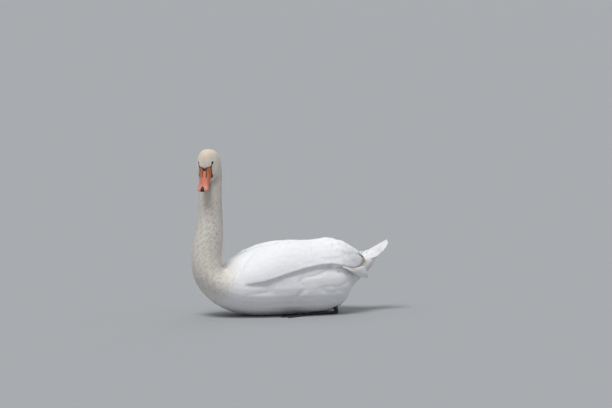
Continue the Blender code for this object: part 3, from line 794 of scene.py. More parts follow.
def lay_vanes(surface, roots, field, vane, length, width, depth, lift, thick, yaw, tip, wrap):
    """Each vane's points, laid on a surface along a field from its root to its tip.

    Wrapped vanes have their edges on the surface too. Also gives the surface's normals and which vanes
    are sound: one that folds back on itself, or leaps over a hollow, is left out.
    """
    across, along, under = vane["across"], vane["along"], vane["under"]
    shares = np.unique(np.round(along, 6))
    centre, normal = surface.nearest(roots)
    lines, ups, ways = [centre], [normal], []
    sound = np.ones(len(roots), bool)
    turn_sin, turn_cos = np.sin(yaw)[:, None], np.cos(yaw)[:, None]
    for before, after in zip(shares, shares[1:]):
        way = field(lines[-1])
        way = unit(way - (way * ups[-1]).sum(1)[:, None] * ups[-1])
        way = way * turn_cos + np.cross(ups[-1], way) * turn_sin
        ways.append(way)
        centre, normal = surface.nearest(lines[-1] + way * (length * (after - before))[:, None])
        stride = np.linalg.norm(centre - lines[-1], axis=1) / (length * (after - before))
        sound &= ((normal * ups[-1]).sum(1) > 0.25) & (stride > 0.2) & (stride < 1.9)
        lines.append(centre)
        ups.append(normal)
    ways.append(ways[-1])
    lines, ups, ways = np.array(lines), np.array(ups), np.array(ways)
    row = np.searchsorted(shares, along - 1e-4)
    middle, up, way = lines[row], ups[row], ways[row]  # (points of a vane, vanes, 3)
    side = np.cross(way, up)
    half = width[None, :] / 2 * outline(along, tip)[:, None]
    curl = -0.10 * across[:, None] ** 2 * length[None, :] * along[:, None] ** 2
    spot = middle + side * (across[:, None] * half)[..., None] + way * curl[..., None]
    if wrap:
        edge = np.abs(across) > 0.01
        flat, flat_up = surface.nearest(spot[edge].reshape(-1, 3))
        shape = spot[edge].shape
        up = up.copy()
        spot[edge], up[edge] = flat.reshape(shape), flat_up.reshape(shape)
    rise = lift[None, :] * along[:, None] ** 2 - depth[None, :] * (1 - along[:, None]) ** 2.1
    rise = rise - 0.025 * width[None, :] * across[:, None] ** 2
    rise = rise - thick[None, :] * under[:, None]
    laid = spot + up * rise[..., None]
    laid[..., 2] = np.maximum(laid[..., 2], 0.0004 * ~under[:, None])  # nothing dips into the floor
    return laid.transpose(1, 0, 2)[sound], up.transpose(1, 0, 2)[sound], sound


def soften(mesh, points, quads, below, ups, share):
    """Turns a coat's shading towards the form's own, so that soft feathers flow into each other."""
    a, b, c, d = (points[quads[:, k]] for k in range(4))
    cross = np.cross(c - a, d - b)
    normals = np.empty((len(quads), 4, 3))
    for side in (False, True):
        rows = below == side
        corner, size = quads[rows].ravel(), len(points)
        total = [np.bincount(corner, np.repeat(cross[rows, k], 4), minlength=size) for k in range(3)]
        total = np.stack(total, 1)
        way = -1 if side else 1
        blend = unit(unit(total) * (1 - share) + ups * share * way)
        normals[rows] = blend[quads[rows]]
    mesh.normals_split_custom_set(normals.reshape(-1, 3).tolist())


def coat_piece(name, points, ups, vane, unwrapped, tones, slot, nodes=(), softness=0.7):
    """Joins laid vanes into one mesh with its two UV maps, colours and tones; the tones carry painted shade,
    darker towards each vane's root.
    """
    count, each = points.shape[:2]
    quads = (vane["quads"][None] + (np.arange(count) * each)[:, None, None]).reshape(-1, 4)
    mesh = bpy.data.meshes.new(name)
    flat, ways = points.reshape(-1, 3), ups.reshape(-1, 3)
    below = np.tile(vane["below"], count)
    a, b, c = (flat[quads[~below, k]] for k in range(3))
    if (np.cross(b - a, c - a) * ways[quads[~below, 0]]).sum() < 0:
        quads = quads[:, ::-1]  # so that the faces look outwards
    mesh.from_pydata(flat.tolist(), [], quads.tolist())
    item = bpy.data.objects.new(name, mesh)
    bpy.context.scene.collection.objects.link(item)
    corner = quads.ravel()
    spread = np.stack((vane["across"], vane["along"] * 2 - 1), 1)
    patch = unwrapped[:, None, :] + spread[None] * TUFT_PATCH
    grain = np.stack((vane["across"] / 2 + 0.5, vane["along"]), 1)
    grain = np.broadcast_to(grain[None], (count, each, 2))
    for title, uv in (("OFBake", patch), ("vane", grain)):
        layer = mesh.uv_layers.new(name=title)
        layer.data.foreach_set("uv", np.clip(uv.reshape(-1, 2)[corner], 0, 1).ravel())
    marks, neck = markings(flat)
    fleck = np.repeat(tones[:, 1], each)
    marks[:, 1] = np.clip(marks[:, 1] * fleck, 0, 1)
    marks[:, 0] = np.clip(marks[:, 0] * (0.6 + 0.4 * fleck), 0, 1)
    store(item, "marks", marks)
    store(item, "neck", neck)
    # Painted shade: each vane is darker towards its root, where the vanes over it would shade it.
    painted_root_shade = 0.94 + 0.06 * np.tile(np.clip(vane["along"] * 2.2, 0, 1), count)
    store(item, "tone_and_painted_shade", np.repeat(tones[:, 0], each) * painted_root_shade)
    mesh.shade_smooth()
    soften(mesh, flat, quads, below, ways, softness)
    finish_piece(item, feather_material(), slot, *nodes)
    return item


BODY_AXIS, BODY_START, BODY_LENGTH = 0.125, -0.39, 0.80  # height of the body's middle line, and its x
NECK_MIDDLE_X, NECK_START, NECK_TALL = -0.322, 0.2, 0.35  # x of the neck's middle line, and its heights


def unwrapped_at(aside, over, share):
    """Places on an unwrap, a thin margin inside its edges: an angle round, and a share of its height."""
    angle = np.arctan2(aside, over) / (2 * math.pi) + 0.5
    return np.stack((0.01 + 0.98 * angle, 0.01 + 0.98 * np.clip(share, 0, 1)), 1)


def around_body(points):
    """An unwrap of the body: the angle round its length, and the place along it."""
    share = (points[:, 0] - BODY_START) / BODY_LENGTH
    return unwrapped_at(points[:, 1], points[:, 2] - BODY_AXIS, share)


def around_neck(points):
    """An unwrap of the neck: the angle round its axis, and the height."""
    share = (points[:, 2] - NECK_START) / NECK_TALL
    return unwrapped_at(points[:, 1], points[:, 0] - NECK_MIDDLE_X, share)


def around_head(points):
    """An unwrap of the head as a globe whose pole is the bill."""
    ball = unit(to_head(points) + (12.0, 0.0, 8.0))
    return unwrapped_at(ball[:, 1], ball[:, 2], (ball[:, 0] + 1) / 2)


# ---------------------------------------------------------------- the coat, zone by zone


def node_surface(nodes):
    """The surface of some solids, made once."""
    if nodes not in SURFACES:
        item = copy_nodes("measured", nodes)
        SURFACES[nodes] = Surface(item)
        bpy.data.objects.remove(item)
    return SURFACES[nodes]


def distance_to(points, nodes):
    """How far each point is from some solids."""
    look = node_surface(nodes).tree.find_nearest
    return np.array([look(place)[3] for place in points.tolist()])


NOTCH_REACH = 0.075  # how far from the inner corner at the back the neck's wall counts as near


def in_open_air(surface, points, normals):
    """Whether a place on a surface lies open: of five ways out of it, enough are free."""
    cast = surface.tree.ray_cast
    side = unit(np.cross(normals, UPWARDS) + 1e-6)
    over = np.cross(side, normals)
    seen = np.zeros(len(points), int)
    for lean in (0 * side, side, -side, over, -over):
        for k, way in enumerate(unit(normals + 0.9 * lean)):
            seen[k] += cast(Vector(points[k] + way * 0.002), Vector(way), 0.5)[0] is None
    x, y, z = points.T
    edge = np.interp(x, WING_EDGE_X, WING_EDGE_Z)
    under_wing = (np.abs(y) > 0.05) & (x > -0.10) & (z < edge + 0.006)
    # In the notch and on the rump walls stand near, so one free way is enough
    valley = (near_notch(points) < NOTCH_REACH) | ((x > 0.15) & ~under_wing)
    free = seen > np.where(valley, 0, 2)
    # Strays at the mouth of the hollow under a wing are left out
    tree = KDTree(len(points))
    rows = points.tolist()
    for k, point in enumerate(rows):
        tree.insert(point, k)
    tree.balance()
    near = [[other for _, other, _ in tree.find_n(point, 9)] for point in rows]
    crowd = np.array([free[others].mean() for others in near])
    return free & ((crowd > 0.8) | ~under_wing)


def near_notch(points):
    """How far a point is from the inner corner between the neck and the back."""
    return np.hypot(points[:, 0] - NECK_TURN[0], points[:, 2] - NECK_TURN[1])


def on_rump(points):
    """Between the wings' ends, above the root of the tail."""
    x, y, z = points.T
    return (x > 0.195) & (x < 0.30) & (np.abs(y) < 0.030) & (z < 0.226) & (z > 0.180)


def coat_depth(points):
    """How deep the coat is: shallow on the head, deepest on the body."""
    size = sizes()
    depths = (size.body_coat, size.neck_coat, size.neck_coat, size.head_coat)
    depth = np.interp(points[:, 2], (0.20, 0.27, 0.44, 0.53), depths)
    return np.where(points[:, 0] > -0.25, size.body_coat, depth)


def neck_length(points):
    """Feather length on the head and neck: shortest round the bill, longer towards the breast."""
    head = np.interp(to_head(points)[:, 0], (-45, -20, 5, 24), (8.5, 7.2, 5.8, 4.0))
    neck = np.interp(points[:, 2], (0.16, 0.25, 0.36, 0.48), (22.0, 17.0, 13.0, 10.0))
    share = smooth_step(points[:, 2], 0.45, 0.54)
    return (neck * (1 - share) + head * share) * MM


def body_length(points):
    """Feather length on the body: longer from the breast to the rump."""
    front = np.interp(points[:, 2], (0.02, 0.14, 0.25), (32.0, 26.0, 17.0))
    back = np.interp(points[:, 0], (-0.30, -0.15, 0.10, 0.30), (28.0, 36.0, 46.0, 50.0))
    share = smooth_step(points[:, 0], -0.30, -0.20)
    return np.where(on_rump(points), 24.0, front * (1 - share) + back * share) * MM


def wing_length(points):
    """Feather length on a wing: from the small coverts at its bend to the tertials at its end."""
    long = np.interp(points[:, 0], (-0.25, -0.15, -0.02, 0.08, 0.18), (22.0, 30.0, 46.0, 68.0, 84.0)) * MM
    aside = (0.006, 0.016, 0.030, 0.045, 0.056, 0.070, 0.090)
    end = np.interp(np.abs(points[:, 1]), aside, (0.242, 0.258, 0.282, 0.278, 0.270, 0.264, 0.260))
    return np.clip(end - points[:, 0], 0.013, long)  # none reaches past the end of the wing


def on_face(points):
    """The feathered face and nape, apart from the bill and the eyes."""
    local = to_head(points)
    found = (points[:, 2] > HEAD_FOOT) & (bareness(local) < -0.3) & (eye_distance(local) > 1.0)
    face = distance_to(points[found], HEAD_SOLIDS)
    bill = distance_to(points[found], BILL_SOLIDS)
    found[found] = (face < 0.0025) & ((face + 0.0002 < bill) | (to_head(points[found])[:, 0] < 24))
    return found


def on_neck(low, high):
    """A test for the neck between two heights."""

    def belongs(points):
        found = (points[:, 2] > low) & (points[:, 2] <= high) & (points[:, 0] < NECK_BACK)
        near = found & (points[:, 2] > 0.45)
        found[near] = distance_to(points[near], HEAD_SOLIDS) < distance_to(points[near], BILL_SOLIDS)
        return found

    return belongs


def on_body(test):
    """A test for the body apart from the neck and wings."""

    def belongs(points):
        found = test(points) & ~((points[:, 2] > NECK_FOOT) & (points[:, 0] < NECK_BACK))
        found[found] = distance_to(points[found], WING_SOLIDS) > WING_REACH
        return found

    return belongs


def on_wing(side):
    """A test for one folded wing."""

    def belongs(points):
        found = (points[:, 1] * side > 0) & (points[:, 0] > NECK_BACK)
        found[found] = distance_to(points[found], WING_SOLIDS) < WING_REACH
        return found

    return belongs


LID_RIM = 0.96  # how near an eye's middle a feather may come, in the opening's own size


def round_the_eyes(points):
    """Moves what would cover an eye out to the rim of its lids."""
    local = to_head(points)
    near = eye_distance(local)
    inside = near < LID_RIM
    seat, axes = eye_seat()
    side = np.sign(local[inside, 1:2]) * (0, 1, 0) + (1, 0, 1)
    apart = local[inside] * side - seat
    flat = apart - (apart @ axes[2])[:, None] * axes[2]
    outwards = LID_RIM / np.maximum(near[inside], 0.2) - 1
    local[inside] = (seat + apart + flat * outwards[:, None]) * side
    points = points.copy()
    points[inside] = from_head(local[inside])
    return points


# How each zone of the coat grows: the feathers' length, their gap and width as shares of it, their lift as
# a share of it, how pointed they are, the rows and columns of a vane, and the candidates per square metre
ZONES = {
    "head": (neck_length, 0.22, 0.50, 0.006, 0.7, (3, 2), 2.4e6),
    "neck": (neck_length, 0.19, 0.50, 0.006, 0.6, (3, 2), 1.1e6),
    "body": (body_length, 0.17, 0.62, 0.004, 0.3, (5, 4), 4.0e5),
    "wing": (wing_length, 0.16, 0.56, 0.003, 0.2, (7, 4), 3.0e5),
}


VANE_THICKNESS = 0.00035  # of the coat's larger vanes; small ones are thinner
ROOT_SUNK = 0.55  # how far a vane's root lies in the coat, as a share of the coat's depth
LONG_VANE = 0.050  # vanes longer than this are narrower for their length


def plant(name, zone, belongs, unwrap, slot, seed):
    """Plants one piece of the coat with overlapping vanes where belongs says so."""
    length, gap, plump, lift, point, grid, density = ZONES[zone]
    surface = form()
    random = np.random.default_rng(SEED + seed)
    points, normals = surface.scatter(int(surface.areas.sum() * density), random)
    inside = belongs(points)
    points, normals = points[inside], normals[inside]
    short = 0.45 + 0.55 * smooth_step(near_notch(points), 0.005, 0.045)  # shorter in the notch
    keep = spaced(points, length(points) * short * gap, random)
    keep = keep[in_open_air(surface, points[keep], normals[keep])]
    roots, count = points[keep], len(keep)
    long = length(roots) * short[keep] * random.uniform(0.86, 1.16, count)
    broad = plump * long * np.minimum(1, (LONG_VANE / long) ** 0.7)
    vane = vane_template(*grid)
    laid, ups, sound = lay_vanes(
        surface, roots, lie_of_coat, vane, long, broad * random.uniform(0.9, 1.12, count),
        coat_depth(roots) * ROOT_SUNK, lift * long * random.uniform(0.2, 1.4, count),
        np.minimum(VANE_THICKNESS, long * 0.025), np.radians(random.normal(0, 8, count)), point,
        grid[1] > 2,  # only vanes with enough columns are wrapped
    )
    roots, count = roots[sound], int(sound.sum())
    if zone == "head":
        near = eye_distance(to_head(laid.reshape(-1, 3))).reshape(count, -1)
        clear = (near < 0.85).mean(axis=1) < 0.45  # one that lies mostly over an eye is left out
        laid, ups, roots = laid[clear], ups[clear], roots[clear]
        count = len(roots)
        laid = round_the_eyes(laid.reshape(-1, 3)).reshape(laid.shape)
    whiteness = random.normal(0.985, 0.012, count).clip(0.93, 1.0)
    tones = np.stack((whiteness, random.uniform(0.4, 1.6, count)), 1)
    coat_piece(name, laid, ups, vane, unwrap(roots), tones, slot)


class SWAN_OT_skin(bpy.types.Operator):
    """One closed skin under the coat, bare and black on the face"""

    bl_idname = "swan.skin"
    bl_label = "Skin"

    def execute(self, context):
        item = flesh("swan_skin", FLESH)
        surface = Surface(item)
        points, normals = surface.points, surface.normals
        local = to_head(points)
        thick = np.full(len(points), 0.3)
        for k, (place, way) in enumerate(zip((points - normals * 0.0004).tolist(), (-normals).tolist())):
            hit = surface.tree.ray_cast(place, way)
            if hit[0] is not None:
                thick[k] = hit[3]
        depth = coat_depth(points)
        face = points[:, 2] > 0.47
        bare = np.where(face, smooth_step(bareness(local), -1.0, 0.6), 0.0)
        bare = np.maximum(bare, np.where(face, smooth_step(eye_distance(local), 1.0, 0.86), 0.0))
        under_bill = face * smooth_step(local[:, 0], 27, 30) * smooth_step(local[:, 2], -46, -42)
        bare = np.maximum(bare, under_bill)
        depth = np.minimum(depth * (1 - 0.7 * bare), thick * 0.36)
        for _ in range(4):
            depth = surface.spread(depth)
        move_points(item, points - normals * depth[:, None])
        marks, neck = markings(points)
        store(item, "marks", marks)
        store(item, "neck", neck)
        store(item, "bare", bare)
        apply_modifier(item, "DECIMATE", ratio=min(1.0, SKIN_TRIANGLES / len(surface.corners)))
        item.data.shade_smooth()
        finish_piece(item, down_material(), "white_plumage", *FLESH)
        return {"FINISHED"}


class SWAN_OT_head_feathers(bpy.types.Operator):
    """Tiny feathers of the face, crown and nape"""

    bl_idname = "swan.head_feathers"
    bl_label = "Head feathers"

    def execute(self, context):
        for k, (name, side) in enumerate(SIDES):

            def half(points, side=side):
                found = (points - EYE_MIDDLE) @ LEFTWARD * -side > 0
                found[found] = on_face(points[found])
                return found

            plant(f"feathers_head_{name}", "head", half, around_head, "neck_plumage", 1 + k)
        return {"FINISHED"}


class SWAN_OT_neck_feathers(bpy.types.Operator):
    """Short soft feathers of the neck"""

    bl_idname = "swan.neck_feathers"
    bl_label = "Neck feathers"

    def execute(self, context):
        parts = (("upper", NECK_HALFWAY, HEAD_FOOT), ("lower", NECK_FOOT, NECK_HALFWAY))
        for k, (name, low, high) in enumerate(parts):
            plant(f"feathers_neck_{name}", "neck", on_neck(low, high), around_neck, "neck_plumage", 3 + k)
        return {"FINISHED"}


BODY_PARTS = (("breast", -1.0, -0.22), ("shoulder", -0.22, -0.02), ("flank", -0.02, 1.0))  # name, x from, to


class SWAN_OT_body_feathers(bpy.types.Operator):
    """Rounded body feathers of the breast, back, flanks and belly"""

    bl_idname = "swan.body_feathers"
    bl_label = "Body feathers"

    def execute(self, context):
        for k, (name, side) in enumerate(SIDES):
            for part, low, high in BODY_PARTS:

                def test(points, side=side, low=low, high=high):
                    x, y = points[:, 0], points[:, 1]
                    return (y * side >= 0) & (x >= low) & (x < high)

                title = f"feathers_{part}_{name}"
                plant(title, "body", on_body(test), around_body, "white_plumage", 5 + k)
        return {"FINISHED"}


class SWAN_OT_wing_coverts(bpy.types.Operator):
    """Coverts and scapulars that shingle the folded wings, longer towards the rear"""

    bl_idname = "swan.wing_coverts"
    bl_label = "Wing coverts"

    def execute(self, context):
        for k, (name, side) in enumerate(SIDES):
            plant(f"coverts_{name}", "wing", on_wing(side), around_body, "white_plumage", 7 + k)
        return {"FINISHED"}


BLADE_GRAIN, FOOT_GRAIN = 0.0015, 0.0013  # mesh sizes of the closed quills' copy and of the feet
QUILLS = 6  # that show on each wing
QUILL_HALF = 0.0075  # half the width of a wing's quill


class SWAN_OT_flight_feathers(bpy.types.Operator):
    """The long quills whose tips show below the end of the folded wings"""

    bl_idname = "swan.flight_feathers"
    bl_label = "Flight feathers"

    def execute(self, context):
        vane = vane_template(14, 6)
        for name, side in SIDES:
            blade, middle, axes = self.measure_blade(name, side)
            random = np.random.default_rng(SEED + 12)
            laid, ups = [], []
            for k in range(QUILLS):
                rank = k / (QUILLS - 1)  # 0 for the uppermost quill, 1 for the lowest
                ahead = blade["start"] + 0.010 + 0.012 * rank
                end = blade["end"] - 0.030 * (1 - rank) ** 1.3 - 0.0015
                u = ahead + (end - ahead) * vane["along"]
                low, high = (np.interp(u, blade["u"], blade[edge]) for edge in ("low", "high"))
                v = high + (low - high) * (0.20 + 0.62 * rank)
                v = v + vane["across"] * QUILL_HALF * outline(vane["along"], -0.6)
                rise = 0.0016 - 0.0006 * k - 0.0005 * vane["under"] - 0.0007 * vane["across"] ** 2
                rise = rise + 0.0003 * random.normal() * vane["along"]
                depth = blade_terms(u, v) @ blade["fit"]
                laid.append(middle + np.stack((u, v, depth + rise), 1) @ axes)
                ups.append(np.broadcast_to(axes[2], (len(u), 3)))
            laid, ups = np.array(laid), np.array(ups)
            tones = np.stack((np.full(len(laid), 0.985), np.ones(len(laid))), 1)
            places, nodes = around_body(laid[:, 0]), (f"primaries_{name}",)
            title = f"quills_{name}"
            coat_piece(title, laid, ups, vane, places, tones, "white_plumage", nodes, softness=0.2)
        return {"FINISHED"}

    def measure_blade(self, name, side):
        """The outer face of the closed quills: its middle and axes, its ends and edges, and its bend."""
        copy = copy_nodes("quills", (f"primaries_{name}",))
        apply_modifier(copy, "REMESH", mode="VOXEL", voxel_size=BLADE_GRAIN)
        points = places_of(copy)
        normals = np.array([point.normal[:] for point in copy.data.vertices])
        bpy.data.objects.remove(copy)
        middle = points.mean(axis=0)
        axes = np.linalg.eigh(np.cov((points - middle).T))[1]
        axes = axes.T[::-1]  # the longest first, the thinnest last
        axes[0] *= np.sign(axes[0, 0])
        axes[2] *= np.sign(axes[2, 1] * side)
        axes[1] *= np.sign(axes[1, 2])
        u, v, depth = ((points - middle) @ axis for axis in axes)
        outer = normals @ axes[2] > 0.3
        fit = np.linalg.lstsq(blade_terms(u[outer], v[outer]), depth[outer], rcond=None)[0]
        places = np.linspace(u.min() + 0.004, u.max() - 0.004, 14)
        near = [v[np.abs(u - place) < 0.006] for place in places]
        return {
            "start": u.min(), "end": u.max(), "u": places, "fit": fit,
            "low": [band.min() for band in near], "high": [band.max() for band in near],
        }, middle, axes


def blade_terms(u, v):
    """The terms of a gently bent sheet."""
    u, v = u / 0.05, v / 0.02
    return np.stack((np.ones_like(u), u, v, u * u, u * v, v * v, u**3, u * u * v), 1)


TAIL_SLOPE = math.atan(TAIL_RISE)
TAIL_BACK = np.array((math.cos(TAIL_SLOPE), 0, math.sin(TAIL_SLOPE)))
TAIL_UP = np.array((-math.sin(TAIL_SLOPE), 0, math.cos(TAIL_SLOPE)))
TAIL_FAN = 14.6  # degrees from the middle of the fan to its edge
TAIL_QUILL_HALF, TAIL_COVERT_HALF, ROOF_HALF, END_HALF = 0.0140, 0.0125, 0.0115, 0.0085  # half-widths
# Rows of coverts over the tail's root: how many, and their reach along the tail from and to
COVERT_ROWS = ((9, -0.012, 0.078), (8, -0.020, 0.058), (7, -0.028, 0.036))
# The feathers that roof the hollow between the wings' ends: x and z of their ridge, and their places aside
ROOF_RIDGE = (
    (0.15, 0.17, 0.19, 0.21, 0.23, 0.25, 0.265, 0.28, 0.30),
    (0.2610, 0.2585, 0.2520, 0.2425, 0.2310, 0.2200, 0.2140, 0.2165, 0.2245),
)
ROOF_PLACES = (0.0, -0.35, 0.35, -0.7, 0.7, -1.0, 1.0)
# The small coverts that close the wings' ends: x and z of their ridge, its distance from the middle, and
# their own distances
END_RIDGE = (
    (0.19, 0.21, 0.23, 0.24, 0.25, 0.26, 0.27, 0.28),
    (0.2625, 0.2520, 0.2385, 0.2315, 0.2230, 0.2140, 0.2010, 0.187),
)
END_ASIDE = 0.034
END_PLACES = (0.027, 0.037, 0.047, 0.032, 0.042)


class SWAN_OT_tail(bpy.types.Operator):
    """The fan of stiff tail feathers, and the coverts over its root"""

    bl_idname = "swan.tail"
    bl_label = "Tail"

    def execute(self, context):
        low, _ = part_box("tail")
        root = np.array((low.x, 0, low.z + 0.004))
        vane = vane_template(16, 6)
        random = np.random.default_rng(SEED + 15)
        laid = np.array(list(self.lay_quills(root, vane, random)))
        count = len(laid)
        # The quills' tone of 0.85 is painted shade: the real tail is as white as the body.
        tones = np.stack((random.normal(0.85, 0.008, count).clip(0.80, 0.90), np.ones(count)), 1)
        places = np.stack((np.linspace(0.05, 0.95, count), np.full(count, 0.5)), 1)
        ups = np.broadcast_to(TAIL_UP, laid.shape)
        coat_piece("tail_quills", laid, ups, vane, places, tones, "white_plumage", ("tail",), softness=0.2)
        pieces = [*self.lay_coverts(root, vane, random), *self.lay_roof(vane), *self.lay_ends(vane)]
        laid, ups = (np.array(part) for part in zip(*pieces))
        count = len(laid)
        tones = np.stack((random.normal(0.93, 0.008, count).clip(0.90, 0.96), np.ones(count)), 1)
        coat_piece("tail_coverts", laid, ups, vane, around_body(laid[:, 0]), tones, "white_plumage")
        return {"FINISHED"}

    def lay_quills(self, root, vane, random):
        """The stiff quills, fanned out and shorter towards the edges."""
        size = sizes()
        half = size.tail_quills / 2
        along, across = vane["along"], vane["across"]
        for k in range(size.tail_quills):
            place = (k + 0.5 - half) / half  # -1 to 1 from edge to edge
            fan = math.radians(TAIL_FAN * place)
            long = size.tail_length * (1.0 - 0.34 * place**2) * random.uniform(0.985, 1.0)
            wide = TAIL_QUILL_HALF * outline(along, -1.8, 0.5)
            slant = -1.5 * place * across * wide * along**3  # cut slantwise, as the fan closes
            reach = long * along * (1 - 0.02 * across**2) + slant
            side = reach * math.sin(fan) + 0.012 * place + across * wide * math.cos(fan)
            droop = 10.0 * side**2 + 0.0030 * abs(place) + 0.0006 * across**2
            rise = 0.0020 - 0.0012 * along - droop - 0.0006 * vane["under"]
            rise = rise + 0.0004 * np.exp(-((across / 0.2) ** 2)) * (1 - along)  # the shaft
            yield on_tail(root, reach * math.cos(fan), side, rise)

    def lay_coverts(self, root, vane, random):
        """Rows of softer coverts over the root of the quills."""
        along, across = vane["along"], vane["across"]
        for row, (number, first, last) in enumerate(COVERT_ROWS):
            for k in range(number):
                place = (k + 0.5) / number * 2 - 1
                end = last * (1 - 0.25 * place**2) * random.uniform(0.93, 1.03)
                fan = math.radians(12.0 * place + random.normal())
                wide = TAIL_COVERT_HALF * outline(along, -0.2, 0.3)
                reach = first + (end - first) * along * (1 - 0.03 * across**2)
                side = 0.019 * place + (reach - first) * math.sin(fan) + across * wide
                bend = 0.017 * (1 - np.clip((reach + 0.03) / 0.075, 0, 1)) ** 1.7  # up onto the rump
                rise = 0.0032 + 0.0013 * row + bend - 9.0 * side**2 - 0.0005 * across**2
                rise = rise - 0.0005 * vane["under"] + 0.0005 * (k % 2)
                spot = on_tail(root, reach, side, rise)
                yield spot, np.broadcast_to(TAIL_UP, spot.shape)

    def lay_roof(self, vane):
        """The innermost wing feathers, which roof the hollow between the wings' ends."""
        along, across = vane["along"], vane["across"]
        for k, place in enumerate(ROOF_PLACES):
            first, last = 0.150 + 0.006 * abs(place), 0.284 - 0.024 * abs(place)
            x = first + (last - first) * along * (1 - 0.02 * across**2)
            side = 0.017 * place * (1 - 0.2 * along) + across * ROOF_HALF * outline(along, -0.2, 0.3)
            z = smooth_curve(x, *ROOF_RIDGE) - 8.0 * side**2 - 0.0006 * across**2 - 0.0005 * vane["under"]
            spot = np.stack((x, side, z + 0.0007 * ((k + 1) // 2)), 1)
            yield spot, roof_normal(x, ROOF_RIDGE, 16.0 * side)

    def lay_ends(self, vane):
        """Small coverts that close the ends of the wings."""
        along, across = vane["along"], vane["across"]
        for k, place in enumerate(END_PLACES):
            upper = k > 2
            first, last = 0.196 + 0.010 * upper, 0.2715 + 0.003 * upper - 9.0 * (place - END_ASIDE) ** 2
            x = first + (last - first) * along * (1 - 0.02 * across**2)
            for sign in (-1, 1):
                side = sign * place + across * END_HALF * outline(along, -0.2, 0.3)
                off = np.abs(side) - END_ASIDE
                z = smooth_curve(x, *END_RIDGE) - 14.0 * off**2 - 0.0005 * vane["under"] - 0.0012
                z = z - 0.0030 * (1 - along) ** 2 - 0.0012 * across**2 + 0.0005 * upper + 0.0001 * k
                yield np.stack((x, side, z), 1), roof_normal(x, END_RIDGE, 28.0 * sign * off)


def on_tail(root, reach, side, rise):
    """Places on the tail's slope: their reach back from its root, to the side, and over it."""
    spot = root + TAIL_BACK * reach[:, None] + TAIL_UP * rise[:, None]
    return spot + np.array((0, 1, 0)) * side[:, None]


def roof_normal(x, ridge, slope):
    """Which way a feather faces that follows a ridge and falls off to its sides."""
    steep = (smooth_curve(x + MM, *ridge) - smooth_curve(x - MM, *ridge)) / (2 * MM)
    return unit(np.stack((-steep, slope, np.ones_like(x)), 1))


# A bill station: reach from the eyes, half-width, height of the ridge and of the cutting edge (mm)
BILL_REACH = (8, 28, 45, 62, 78, 90, 98, 102.5, 104.5)
BILL_WIDTH = (19.5, 19.8, 18.6, 17.8, 19.0, 20.1, 18.7, 14.5, 8.0)
BILL_RIDGE = (-6.0, -6.5, -13.2, -19.5, -23.8, -26.4, -28.4, -30.2, -31.8)
BILL_LIP = (-30.0, -32.2, -33.2, -33.5, -33.2, -33.0, -33.5, -34.5, -35.0)
NOSTRIL = (47.5, 7.6, 7.5, 1.5)  # reach, distance from the ridge, half-length, half-height (mm)
NAIL = (96.5, 9.8, 7.6)  # reach of its middle, half-length, half-width (mm)
KNOB_HALF, KNOB_PLACE = (7.6, 5.0, 4.6), (28.6, 0, -11.0)  # the knob: half its size, and its middle (mm)
# Black lines from the forehead's point to the nostrils: reach, distance from the ridge, half-width (mm)
BLACK_LINES = ((24, 28, 33, 40, 48, 56), (3.5, 5.0, 6.8, 7.6, 7.7, 7.6), (2.6, 1.9, 1.5, 1.4, 1.6, 0.2))


def super_round(angle, square):
    """The sideways and upward share of a rounded section, at an angle from its top."""
    side, up = np.sin(angle), np.cos(angle)
    return np.sign(side) * np.abs(side) ** (2 / square), np.sign(up) * np.abs(up) ** (2 / square)


def nostril_share(x, y):
    """1 in the middle of a nostril, 0 at its edge and beyond."""
    reach, aside, long, high = NOSTRIL
    return np.clip(1 - ((x - reach) / long) ** 2 - ((np.abs(y) - aside) / high) ** 2, 0, 1)


def nail_share(x, y):
    """Above 0 on the nail of the bill's tip."""
    reach, long, wide = NAIL
    taper = wide * (0.80 + 0.20 * np.clip((x - reach) / long + 0.4, -1, 1))
    return 1 - (np.minimum(x - reach, 0) / long) ** 2 - (y / taper) ** 2


